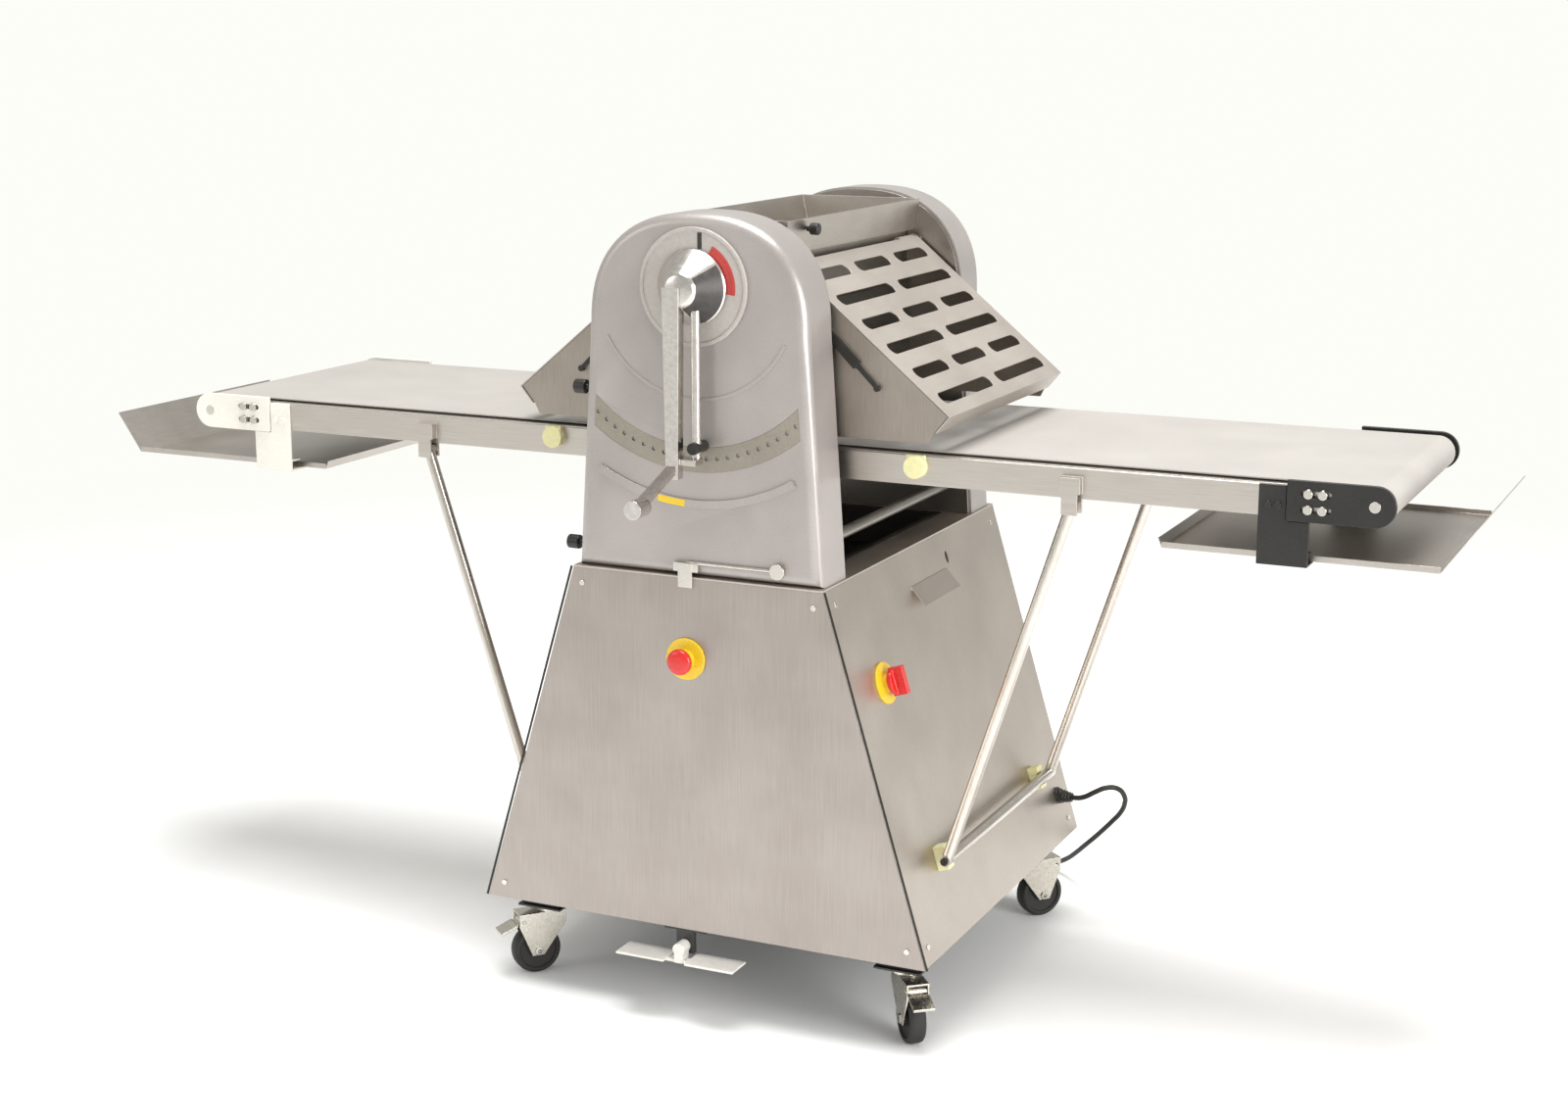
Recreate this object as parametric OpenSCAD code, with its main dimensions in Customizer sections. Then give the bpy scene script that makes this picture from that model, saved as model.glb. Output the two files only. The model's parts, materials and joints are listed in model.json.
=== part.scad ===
// Floor-standing dough sheeter: two belt tables either side of a pair of sheeting rollers,
// on a tapered stainless cabinet with castors. X runs along the tables, the operator stands
// at -Y, and the origin is on the floor under the middle of the machine.

/* [Cabinet] */
// Height of the cabinet, from its lower edge to the deck
cab_h = 565; // [480:5:650]
// Width of the cabinet at the deck
cab_top_w = 418; // [380:2:500]
// Width of the cabinet at its lower edge
cab_bottom_w = 759; // [700:1:900]
// Thickness of the stainless panels
panel_t = 2; // [1:0.5:3]
// Thickness of the deck plate
deck_t = 3; // [2:0.5:5]
// Side of the square tube in the base frame
frame_tube = 30; // [20:5:40]

/* [Tables] */
// Width of each belt
belt_w = 450; // [370:5:545]
// Distance from the middle of the machine to each end roller
table_reach = 981; // [880:1:1190]
// Distance from the middle of the machine to each fold axis
fold_x = 75; // [72:1:85]
// Height of the belts' upper side above the deck
belt_rise = 197; // [190:1:215]
// Thickness of the belts
belt_t = 2.7; // [2:0.1:4]
// Radius of the drive rollers and end rollers
drum_r = 23; // [20:0.5:24]
// Height of the side rails
rail_h = 44; // [36:1:46]
// Gap between a belt's edge and the inside of its rail
belt_side_gap = 12; // [8:1:16]
// Thickness of the side rails
rail_t = 3; // [2:0.5:4]
// Distance from the middle of the machine to the guard rests
rest_x = 308; // [290:1:400]

/* [Rollers] */
// Radius of the two sheeting rollers
roller_r = 42; // [36:0.5:44]
// Gap between the sheeting rollers with the lever hanging straight down
roll_gap = 17.5; // [17.5:0.5:24]
// Radius of the lower roller's shaft
shaft_r = 15; // [12:0.5:18]
// Radius of the pinions that lift the upper roller
pinion_r = 20.3; // [16:0.1:20.3]

/* [Head] */
// Half of each housing's width at the deck
head_half = 206; // [190:1:208]
// Half of each housing's width at its shoulders
shoulder_half = 181; // [172:1:188]
// Height of the shoulders above the deck
shoulder_rise = 369; // [360:1:420]
// Height of the rounded crown above the shoulders
crown = 174; // [160:1:180]
// Depth of each housing, front to back
head_d = 88; // [70:1:110]
// Wall of the housings
head_t = 5; // [3:0.5:8]
// Height of the lever's axis above the deck
dial_rise = 436; // [430:1:460]
// Thickness of the cheek plates
cheek_t = 8; // [6:1:12]
// Radius of the dial plate
dial_r = 88; // [70:1:95]

/* [Guards] */
// Distance from the middle of the machine to each guard's hinge
guard_x = 101; // [98:1:108]
// Height of the guard hinges above the deck
guard_rise = 460; // [455:1:470]
// Length of the slotted grilles
guard_len = 335; // [320:1:345]
// Slope of the grilles below horizontal
guard_angle = 39.8; // [38:0.1:42]

/* [Struts and trays] */
// Distance from the middle of the machine to the strut pivots
strut_x = 548; // [500:1:600]
// Height of the strut's crossbar above the cabinet's lower edge
strut_foot_rise = 134; // [100:1:200]
// Radius of the strut's tube
strut_r = 9; // [7:0.5:11]
// Length of the catch trays' floors
tray_len = 392; // [300:1:420]
// Half of the catch trays' width
tray_half = 215; // [180:1:220]
// How far the right catch tray is slid out
right_tray_out = 0; // [0:5:120]
// How far the left catch tray is slid out
left_tray_out = 95; // [0:5:120]

/* [Castors and pedal] */
// Radius of the castor wheels
wheel_r = 40; // [30:1:45]
// Width of the castor wheels
wheel_w = 26; // [20:1:30]
// Distance from the swivel's axis to the wheel's axle
trail = 28; // [20:1:30]
// Height of the castors up to their plates' upper side
castor_h = 120; // [110:1:130]
// Height of the blocks above the castors
spacer_h = 26; // [15:1:40]
// Distance from the middle of the machine to the swivels, left and right
castor_x = 315; // [290:1:330]
// Distance from the middle of the machine to the swivels, front and back
castor_y = 275; // [250:1:290]
// Length of the foot pedal
pedal_len = 204; // [160:2:240]

/* [Controls and cord] */
// Radius of the yellow discs behind the emergency stop and the mains switch
disc_r = 32.5; // [28:0.5:36]
// Radius of the emergency stop's mushroom head
estop_r = 20; // [16:0.5:24]
// Radius of the mains lead
cord_r = 4.5; // [3:0.1:6]
// Turns of the stored coil across, and the same number in height
coil_turns = 2; // [2:1:3]

/* [Hidden] */
$fn = 64;

// Clearances
run = 0.05;         // radial, shaft in bore
gap = 0.3;          // between neighbours that move apart
e = 0.01;           // overlap that makes a cut clean

// Heights
cab_z = castor_h + spacer_h;
deck_z = cab_z + cab_h;
panel_top = deck_z - deck_t;
belt_z = deck_z + belt_rise;
axis_z = belt_z - belt_t - gap - drum_r;
lower_z = belt_z - roller_r;
upper_z = lower_z + 2 * roller_r + roll_gap;
dial_z = deck_z + dial_rise;
guard_z = deck_z + guard_rise;
strut_z = cab_z + strut_foot_rise;

// Distances from the middle of the machine, front to back
rail_y = belt_w / 2 + belt_side_gap + rail_t;
skirt_y = rail_y + 8;
skirt_t = 3;
cheek_y = rail_y + 19;
house_in = cheek_y + cheek_t;
house_y = house_in + head_d;
cab_y = house_y + 5;
leg_y = rail_y - 1;

// Cabinet sides: half width and slope at a height
lean = (cab_bottom_w - cab_top_w) / 2 / cab_h;
lean_a = atan(lean);
function side_x(z) = cab_bottom_w / 2 - (z - cab_z) * lean;
wall_x = panel_t / cos(lean_a);

// Belts and rollers
belt_in = drum_r + gap;
belt_out = belt_in + belt_t;
drum_half = belt_w / 2 + 1;
axle_r = 8;
upper_shaft_r = 12;
block = 60;
lift = 16.5;        // travel of the upper roller either way
rack_x = pinion_r + gap;
rack_w = 12;

// Strut: pivot below the rail, foot outside the leaning side panel
pivot_z = axis_z - rail_h / 2 - 14;
foot_x = side_x(strut_z) + 26;
strut_len = norm([strut_x - foot_x, pivot_z - strut_z]);
strut_a = atan2(strut_x - foot_x, pivot_z - strut_z);

// Catch trays
tray_z = axis_z - 88;
tray_t = 1.5;
lip_t = 3;          // the hangers' inward lips, below and above the tray
tray_start = table_reach - 305;
hanger_x = table_reach - 161;
hanger_w = 72;

// Guard: a point at a distance along the grille and above it
function on_guard(along, up) = [guard_x + along * cos(guard_angle) + up * sin(guard_angle),
                                guard_z - along * sin(guard_angle) + up * cos(guard_angle)];
hinge_r = 6;
ear_t = 3;          // plates on the cheeks that carry the hinge rods
knuckle_r = 9;
skirt_top = knuckle_r - 2.5;
slot_first = 34.5;
slot_pitch = 53.3;
slot_h = 22;

// Outline points of a housing, set in from its edge: straight sides and a crown that is
// rounder than an ellipse at the shoulders
function squared(v) = sign(v) * pow(abs(v), 2 / 2.4);
function dome(inset, n = 40) = concat([[head_half - inset, 0]],
    [for (i = [0 : n]) let (t = 180 * i / n) [(shoulder_half - inset) * squared(cos(t)),
        shoulder_rise + (crown - inset) * squared(sin(t))]],
    [[inset - head_half, 0]]);

// Outline points of a bar with round ends, its length measured between the end centres
function stadium(len, r, n = 16) = concat(
    [for (i = [0 : n]) let (t = -90 + 180 * i / n) [len + r * cos(t), r * sin(t)]],
    [for (i = [0 : n]) let (t = 90 + 180 * i / n) [r * cos(t), r * sin(t)]]);

// Extrudes an outline drawn in X and Z from y0 to y1
module xz(y0, y1) {
    translate([0, y1, 0]) rotate([90, 0, 0]) linear_extrude(y1 - y0) children();
}

// A rod along Y
module rod_y(x, z, r, y0, y1) {
    translate([x, y1, z]) rotate([90, 0, 0]) cylinder(r = r, h = y1 - y0);
}

// Copies to the other end of the machine, front and back
module both_y() {
    children();
    mirror([0, 1, 0]) children();
}

// Places children on the right or left side panel, +Z pointing out of the panel
module on_side(side, y, z) {
    mirror([side < 0 ? 1 : 0, 0, 0])
        translate([side_x(z), y, z]) rotate([0, 90 - lean_a, 0]) children();
}

// Places children on the front panel, +Z pointing at the operator
module on_front(x, z) {
    translate([x, -cab_y, z]) rotate([90, 0, 0]) children();
}

// The left half of the machine mirrors the right half
module left() {
    mirror([1, 0, 0]) children();
}

// ---------- Cabinet ----------

floor_t = 3;
ring_z = cab_z + floor_t;
ring_x = side_x(ring_z + frame_tube) - wall_x - 1;
top_ring_z = panel_top - frame_tube;
top_ring_x = side_x(panel_top) - wall_x - 1;
frame_y = cab_y - panel_t - 1;

module base_frame() {
    color("dimgray") {
        translate([-side_x(ring_z) + wall_x + 1, -frame_y, cab_z])
            cube([2 * (side_x(ring_z) - wall_x - 1), 2 * frame_y, floor_t]);
        both_y() translate([-ring_x, -frame_y, ring_z])
            cube([2 * ring_x, frame_tube, frame_tube]);
        for (s = [-1, 1]) translate([s * (ring_x - frame_tube / 2) - frame_tube / 2,
                                     -frame_y + frame_tube, ring_z])
            cube([frame_tube, 2 * (frame_y - frame_tube), frame_tube]);
        both_y() translate([-top_ring_x, -frame_y, top_ring_z])
            cube([2 * top_ring_x, frame_tube, frame_tube]);
        // Leaning posts, a little slimmer than the rings and let into them
        for (s = [0, 1]) mirror([s, 0, 0]) both_y() xz(-frame_y + 1, -frame_y + frame_tube - 1)
            polygon([[ring_x - 3, ring_z + frame_tube - 5], [top_ring_x - 3, top_ring_z + 5],
                     [top_ring_x - frame_tube + 2, top_ring_z + 5],
                     [ring_x - frame_tube + 2, ring_z + frame_tube - 5]]);
    }
}

// Emergency stop's place on the front panel, and the foot pedal's
estop_x = -16;
estop_z = deck_z - 128;
panel_hole_r = 11;
screw_r = 2.5;
panel_pts = [[cab_bottom_w / 2, cab_z], [side_x(panel_top), panel_top],
             [-side_x(panel_top), panel_top], [-cab_bottom_w / 2, cab_z]];
// Screws near the corners of the front and rear panels
corner_screws = [for (s = [-1, 1], z = [cab_z + 26, panel_top - 24]) [s * (side_x(z) - 22), z]];

module panel_plate(y0) {
    difference() {
        xz(y0, y0 + panel_t) polygon(panel_pts);
        for (p = corner_screws) rod_y(p[0], p[1], screw_r + run, y0 - e, y0 + panel_t + e);
        children();
    }
}

module cabinet_front_panel() {
    color("silver") panel_plate(-cab_y)
        rod_y(estop_x, estop_z, panel_hole_r + run, -cab_y - e, -cab_y + panel_t + e);
}

vent_w = 70;
vent_h = 5;

module cabinet_rear_panel() {
    color("silver") panel_plate(cab_y - panel_t)
        for (s = [-1, 1], i = [0 : 5])
            translate([s * 80 - vent_w / 2, cab_y - panel_t - e, cab_z + 90 + i * 16])
                cube([vent_w, panel_t + 2 * e, vent_h]);
}

switch_y = -237;
switch_z = deck_z - 165;
pull_y = 20;
pull_z = deck_z - 58;
gland_y = 308;
gland_z = cab_z + 71;
side_screws = [for (s = [-1, 1], z = [cab_z + 26, panel_top - 24]) [s * (cab_y - 30), z]];

module side_panel() {
    xz(-cab_y + panel_t, cab_y - panel_t)
        polygon([[cab_bottom_w / 2, cab_z], [side_x(panel_top), panel_top],
                 [side_x(panel_top) - wall_x, panel_top], [cab_bottom_w / 2 - wall_x, cab_z]]);
}

module side_holes(side) {
    for (p = side_screws) on_side(side, p[0], p[1])
        translate([0, 0, -10]) cylinder(r = screw_r + run, h = 20);
}

module cabinet_side_panels() {
    color("silver") {
        difference() {
            side_panel();
            side_holes(1);
            on_side(1, switch_y, switch_z) translate([0, 0, -10])
                cylinder(r = panel_hole_r + run, h = 20);
            on_side(1, gland_y, gland_z) translate([0, 0, -20])
                cylinder(r = panel_hole_r + run, h = 40);
        }
        // Bent pull on the right panel
        on_side(1, pull_y, pull_z) pull_flap();
        difference() {
            left() side_panel();
            side_holes(-1);
        }
    }
}

pull_w = 150;
pull_drop = 34;

// A folded lip that is welded to the panel; local X points down the panel
module pull_flap() {
    translate([0, pull_w / 2, 0]) rotate([90, 0, 0]) linear_extrude(pull_w)
        polygon([[0, -0.2], [4, -0.2], [pull_drop, 16], [pull_drop, 18.5], [0, 2]]);
}

open_x = 150;
open_y = cheek_y - 20;
belt_slot_x = 66;
belt_slot_y = house_in + 42;

module top_deck() {
    color("silver") difference() {
        translate([-side_x(panel_top), -cab_y, panel_top])
            cube([2 * side_x(panel_top), 2 * cab_y, deck_t]);
        translate([-open_x, -open_y, panel_top - e]) cube([2 * open_x, 2 * open_y, deck_t + 2 * e]);
        translate([-belt_slot_x, belt_slot_y - 14, panel_top - e])
            cube([2 * belt_slot_x, 28, deck_t + 2 * e]);
    }
}

crumb_t = 1.5;
crumb_h = 62;

// A dark tray with a rim that drops into the deck's opening
module crumb_tray() {
    color("darkslategray") {
        difference() {
            translate([-open_x + gap, -open_y + gap, deck_z - crumb_h])
                cube([2 * (open_x - gap), 2 * (open_y - gap), crumb_h]);
            translate([-open_x + gap + crumb_t, -open_y + gap + crumb_t,
                       deck_z - crumb_h + crumb_t])
                cube([2 * (open_x - gap - crumb_t), 2 * (open_y - gap - crumb_t), crumb_h]);
        }
        difference() {
            translate([-open_x - 8, -open_y - 8, deck_z])
                cube([2 * open_x + 16, 2 * open_y + 16, crumb_t]);
            translate([-open_x + gap + crumb_t, -open_y + gap + crumb_t, deck_z - e])
                cube([2 * (open_x - gap - crumb_t), 2 * (open_y - gap - crumb_t),
                      crumb_t + 2 * e]);
        }
    }
}

plate = 78;
king_r = 6;
race_r = 26;
race_h = 5;
pedal_x = -25;
pedal_z = cab_z - 28;
pedal_ear_t = 10;
pedal_pin_r = 5;

module underframe_brackets() {
    color("dimgray") {
        for (sx = [-1, 1], sy = [-1, 1]) translate([sx * castor_x, sy * castor_y, 0])
            difference() {
                union() {
                    translate([-plate / 2 + 6, -plate / 2 + 6, castor_h])
                        cube([plate - 12, plate - 12, spacer_h]);
                    translate([-plate / 2, -plate / 2, castor_h - 4]) cube([plate, plate, 4]);
                    translate([0, 0, castor_h - 4 - race_h]) cylinder(r = race_r, h = race_h + 1);
                }
                translate([0, 0, castor_h - 20]) cylinder(r = king_r + run, h = 34);
            }
        // Hanger of the foot pedal: a plate under the cabinet and an ear with the pin's bore
        translate([pedal_x - 36, -cab_y + 4, cab_z - 5]) cube([72, 80, 5]);
        difference() {
            translate([pedal_x - 15, -cab_y + 4, pedal_z - 13])
                cube([30, pedal_ear_t, cab_z - 5 - pedal_z + 13]);
            rod_y(pedal_x, pedal_z, pedal_pin_r + run, -cab_y, -cab_y + 30);
        }
    }
}

// ---------- Head ----------

scale_in = 238;
scale_out = 276;
rib_in = 318;
rib_out = 330;

// A curved band about the lever's axis, drawn from the deck upwards
module band(r0, r1, a0, a1) {
    n = 12;
    translate([0, dial_rise]) intersection() {
        difference() {
            circle(r = r1);
            circle(r = r0);
        }
        polygon(concat([[0, 0]], [for (i = [0 : n]) let (t = a0 + (a1 - a0) * i / n)
            [1.2 * r1 * cos(t), 1.2 * r1 * sin(t)]]));
    }
}

module housing_shell() {
    difference() {
        translate([0, 0, deck_z]) xz(-house_y, -house_in)
            polygon(dome(0));
        translate([0, 0, deck_z - e]) xz(-house_y + head_t, -house_in + e)
            polygon(dome(head_t));
    }
}

scale_cut = 3;

// The crescent of the lever's scale, kept inside the flat of the housing's face
module scale_shape(inset) {
    intersection() {
        band(scale_in + inset, scale_out - inset, -150, -30);
        polygon(dome(20 + inset));
    }
}

module front_side_housing() {
    color("gainsboro") {
        difference() {
            housing_shell();
            rod_y(0, dial_z, 14, -house_y - e, -house_in);
            translate([0, 0, deck_z]) xz(-house_y - e, -house_y + scale_cut) scale_shape(0);
            rod_y(latch_screw_x, deck_z + 22, screw_r + run, -house_y - e, -house_in);
        }
        translate([0, 0, deck_z]) xz(-house_y - 4, -house_y) band(rib_in, rib_out, -120, -60);
    }
}

module rear_side_housing() {
    color("gainsboro") mirror([0, 1, 0]) housing_shell();
}

window_z0 = upper_z - block / 2 - lift - gap;
window_z1 = upper_z + block / 2 + lift + gap;
flange_r = 30;

// Both cheeks, with the lower roller's flange bearings
module cheek_plates() {
    color("gray") both_y() difference() {
        translate([0, 0, deck_z]) xz(-house_in, -cheek_y)
            polygon(dome(head_t - 2));
        rod_y(0, lower_z, flange_r, -house_in - e, -cheek_y + e);
        translate([-block / 2 - gap, -house_in - e, window_z0])
            cube([block + 2 * gap, cheek_t + 2 * e, window_z1 - window_z0]);
        rod_y(0, dial_z, upper_shaft_r + run, -house_in - e, -cheek_y + e);
        for (s = [-1, 1]) rod_y(s * fold_x, axis_z, axle_r + run, -house_in - e, -cheek_y + e);
    }
    color("darkgray") both_y() difference() {
        rod_y(0, lower_z, flange_r, -house_in, -cheek_y);
        rod_y(0, lower_z, shaft_r + run, -house_in - e, -cheek_y + e);
    }
}

// Tie bars: two above the upper roller, two just above the deck
tie_r = 9;
tie_x = 80;
tie_z = deck_z + 399;
low_tie_x = 165;
low_tie_z = deck_z + 50;
blade_t = 2;

// Tie bars, the lower roller's two scrapers and the guards' hinge rods
module cross_members() {
    color("lightgray") {
        for (s = [-1, 1]) {
            rod_y(s * tie_x, tie_z, tie_r, -cheek_y, cheek_y);
            rod_y(s * low_tie_x, low_tie_z, tie_r, -cheek_y, cheek_y);
            rod_y(s * guard_x, guard_z, hinge_r, -cheek_y + ear_t, cheek_y - ear_t);
        }
        for (s = [0, 1]) mirror([s, 0, 0]) {
            both_y() xz(-cheek_y, -cheek_y + ear_t)
                polygon([[guard_x - 40, guard_z - 30], [guard_x - 12, guard_z - 34],
                         [guard_x + 10, guard_z - 8], [guard_x + 10, guard_z + 6],
                         [guard_x - 8, guard_z + 8]]);
            // Scraper: a bar with a blade that leans towards the lower roller
            translate([24, -cheek_y, lower_z - roller_r - 40])
                cube([16, 2 * cheek_y, 10]);
            xz(-cheek_y + 8, cheek_y - 8)
                polygon([[24, lower_z - roller_r - 31], [24 + blade_t, lower_z - roller_r - 31],
                         [20 + blade_t, lower_z - roller_r + 3.2], [20, lower_z - roller_r + 2.5]]);
        }
    }
}

pan_half = guard_x + 7;
pan_z0 = guard_z + 16;
pan_z1 = guard_z + 68;
pan_t = 2;
pan_flare = 11;

// Open flour pan between the housings, with flared long sides
module top_tray() {
    color("silver") {
        difference() {
            xz(-cheek_y + gap, cheek_y - gap)
                polygon([[-pan_half + pan_flare, pan_z0], [pan_half - pan_flare, pan_z0],
                         [pan_half, pan_z1], [-pan_half, pan_z1]]);
            xz(-cheek_y + gap + pan_t, cheek_y - gap - pan_t)
                polygon([[-pan_half + pan_flare + pan_t, pan_z0 + pan_t],
                         [pan_half - pan_flare - pan_t, pan_z0 + pan_t],
                         [pan_half - pan_t, pan_z1 + 1], [-pan_half + pan_t, pan_z1 + 1]]);
        }
        for (s = [-1, 1]) translate([s * tie_x - 5, -cheek_y + ear_t + gap, tie_z + tie_r + gap])
            cube([10, 2 * (cheek_y - ear_t - gap), pan_z0 - tie_z - tie_r - gap]);
    }
}

hub_y = house_y + 6;

module dial_plate() {
    color("white") difference() {
        union() {
            rod_y(0, dial_z, dial_r, -house_y - 4, -house_y);
            difference() {
                rod_y(0, dial_z, dial_r, -hub_y, -house_y - 3);
                rod_y(0, dial_z, dial_r - 6, -hub_y - e, -house_y - 3 + 2 * e);
            }
        }
        rod_y(0, dial_z, upper_shaft_r + run, -hub_y - e, -house_y + e);
    }
    // Red arc that marks the narrow settings
    color("red") translate([0, 0, deck_z]) xz(-house_y - 4.8, -house_y - 4)
        band(56, 64, -8, 62);
}

plunger_r = 255;

// Curved plate that sits in the housing's recess, with a hole for each setting
module gap_scale_plate() {
    color("darkgray") translate([0, 0, deck_z]) xz(-house_y, -house_y + scale_cut)
        difference() {
            scale_shape(gap);
            for (i = [-10 : 10]) translate([plunger_r * sin(i * 4),
                                            dial_rise - plunger_r * cos(i * 4)]) circle(r = 3.5);
        }
}

arm_y = hub_y + 42;
arm_len = 278;
rod_x = 17;

// Pinion shaft, cone hub, hanging arm, plunger, crank and grip, all one turning piece
module gap_lever() {
    color("silver") {
        rod_y(0, dial_z, upper_shaft_r, -hub_y - 1, house_in + 22);
        both_y() rod_y(0, dial_z, pinion_r, -house_in - 20, -house_in - 4);
        translate([0, -hub_y - gap, dial_z]) rotate([90, 0, 0])
            cylinder(r1 = 46, r2 = 20, h = 46);
        // Hanging arm, broad at the hub
        xz(-arm_y - 10, -arm_y + 8) polygon([[-24, dial_z + 4], [4, dial_z + 4],
            [0, dial_z - arm_len], [-20, dial_z - arm_len]]);
        // Plunger beside it, in a bracket at the arm's lower end
        rod_z(rod_x, -arm_y + 18, dial_z - plunger_r + 4, 7, plunger_r - 34);
        translate([-4, -arm_y - 4, dial_z - plunger_r - 2]) cube([30, 26, 9]);
        // Crank that comes towards the operator, with a round grip
        crank();
    }
    color("black") {
        rod_y(rod_x, dial_z - plunger_r + 22, 9, -arm_y + 4, -house_y - 6);
    }
}

module rod_z(x, y, z, r, h) {
    translate([x, y, z]) cylinder(r = r, h = h);
}

module crank() {
    translate([-10, -arm_y, dial_z - arm_len + 8]) {
        translate([-8, -96, -30]) rotate([20, 0, 0]) cube([16, 100, 10]);
        translate([0, -98, -32]) rotate([90, 0, 0]) cylinder(r = 14, h = 34);
    }
}

gap_top = upper_z + block / 2;
block_y = 18;       // how far the blocks stand out behind the cheeks

// Two sliding blocks with their racks, and the upper roller's scraper between them
module upper_bearing_blocks() {
    color("dimgray") {
        both_y() {
            difference() {
                translate([-block / 2, -house_in - block_y, upper_z - block / 2])
                    cube([block, block_y + cheek_t, block]);
                rod_y(0, upper_z, upper_shaft_r + run, -house_in - 20, -cheek_y + e);
            }
            translate([rack_x, -house_in - block_y, gap_top - 10])
                cube([rack_w, 12, dial_z + lift + 12 - gap_top + 10]);
        }
        both_y() translate([-8, -cheek_y, gap_top - 12]) cube([16, 5, 34]);
        translate([-8, -cheek_y, gap_top + 14]) cube([16, 2 * cheek_y, 8]);
        xz(-cheek_y + 8, cheek_y - 8)
            polygon([[-8, gap_top + 15], [-8 + blade_t, gap_top + 15],
                     [2 + blade_t, upper_z + roller_r + gap + 0.2],
                     [2, upper_z + roller_r + gap + 0.2]]);
    }
}

roller_half = cheek_y - 7;
pulley_r = 60;
pulley_y = belt_slot_y;

module grooved_pulley(r) {
    translate([0, 9, 0]) rotate([90, 0, 0]) difference() {
        cylinder(r = r, h = 18);
        rotate_extrude() polygon([[r - 8, 9 - 2.5], [r + 1, 2.4], [r + 1, 15.6], [r - 8, 11.5]]);
    }
}

module lower_roller() {
    color("silver") {
        rod_y(0, lower_z, roller_r, -roller_half, roller_half);
        rod_y(0, lower_z, shaft_r, -house_in - 10, pulley_y + 14);
        translate([0, pulley_y, lower_z]) grooved_pulley(pulley_r);
    }
}

module upper_roller() {
    color("silver") {
        rod_y(0, upper_z, roller_r, -roller_half, roller_half);
        rod_y(0, upper_z, upper_shaft_r, -house_in - 14, house_in + 14);
    }
}

// ---------- Drive ----------

motor_z = cab_z + floor_t + 92;
motor_r = 75;
motor_shaft_r = 12;
motor_pulley_r = 30;
vbelt_t = 8;

module drive_unit() {
    color("slategray") {
        difference() {
            union() {
                rod_y(0, motor_z, motor_r, -40, 190);
                translate([-70, 190, motor_z - 70]) cube([140, 60, 140]);
                translate([-80, -20, cab_z + floor_t]) cube([160, 180, 30]);
            }
            rod_y(0, motor_z, motor_shaft_r + run, 215, 260);
        }
        // Switch box on the floor plate
        translate([-240, -250, cab_z + floor_t]) cube([120, 90, 160]);
    }
    color("black") vbelt();
}

// V-belt round both pulleys, drawn as a thin closed loop
module vbelt() {
    r0 = motor_pulley_r - 6.2;
    r1 = pulley_r - 6.2;
    span = lower_z - motor_z;
    tilt = asin((r1 - r0) / span);
    xz(pulley_y - 3, pulley_y + 3) difference() {
        loop_outline(r0 + vbelt_t, r1 + vbelt_t, span, tilt);
        loop_outline(r0, r1, span, tilt);
    }
}

// Outline of a belt over a small lower circle and a large upper one
module loop_outline(r0, r1, span, tilt) {
    n = 24;
    polygon(concat(
        [for (i = [0 : n]) let (t = -180 - tilt + (180 + 2 * tilt) * i / n)
            [r0 * cos(t), motor_z + r0 * sin(t)]],
        [for (i = [0 : n]) let (t = tilt + (180 - 2 * tilt) * i / n)
            [r1 * cos(t), motor_z + span + r1 * sin(t)]]));
}

module motor_pulley() {
    color("gray") {
        translate([0, pulley_y, motor_z]) grooved_pulley(motor_pulley_r);
        rod_y(0, motor_z, motor_shaft_r, 216, pulley_y);
    }
}

// ---------- Controls ----------

module yellow_disc() {
    difference() {
        union() {
            cylinder(r = disc_r, h = 4);
            translate([0, 0, -panel_t - 20]) cylinder(r = panel_hole_r, h = 22 + panel_t);
            translate([0, 0, 3]) cylinder(r = 15, h = 9);
        }
        translate([0, 0, -panel_t - 21]) cylinder(r = 7 + run, h = 40);
    }
}

module control_plates() {
    color("gold") {
        on_front(estop_x, estop_z) yellow_disc();
        on_side(1, switch_y, switch_z) yellow_disc();
    }
}

// Mushroom head on a stem; it travels 6 mm
module estop_button() {
    color("red") on_front(estop_x, estop_z) {
        translate([0, 0, -12]) cylinder(r = 7, h = 32);
        translate([0, 0, 19]) cylinder(r = estop_r, h = 8);
        translate([0, 0, 27 - e]) cylinder(r1 = estop_r, r2 = estop_r - 6, h = 4);
    }
}

// Round switch knob with a raised grip across it
module switch_knob() {
    color("red") on_side(1, switch_y, switch_z) {
        translate([0, 0, -12]) cylinder(r = 7, h = 25);
        translate([0, 0, 12 + gap]) cylinder(r = 20, h = 8);
        translate([-22, -6, 12 + gap]) cube([44, 12, 24]);
    }
}

// Cable gland: hexagon, dome and a tapered sleeve, level with the floor
gland_x = side_x(gland_z);
gland_end = 386;

module cord_gland() {
    color("black") {
        on_side(1, gland_y, gland_z) {
            translate([0, 0, -12]) cylinder(r = panel_hole_r, h = 14);
            cylinder(r = 15, h = 6, $fn = 6);
        }
        translate([gland_x + 4.5, gland_y, gland_z]) rotate([0, 90, 0])
            cylinder(r1 = 12, r2 = 7, h = gland_end - gland_x - 4.5);
    }
}

latch_x = -15;
latch_screw_x = 137;

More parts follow.
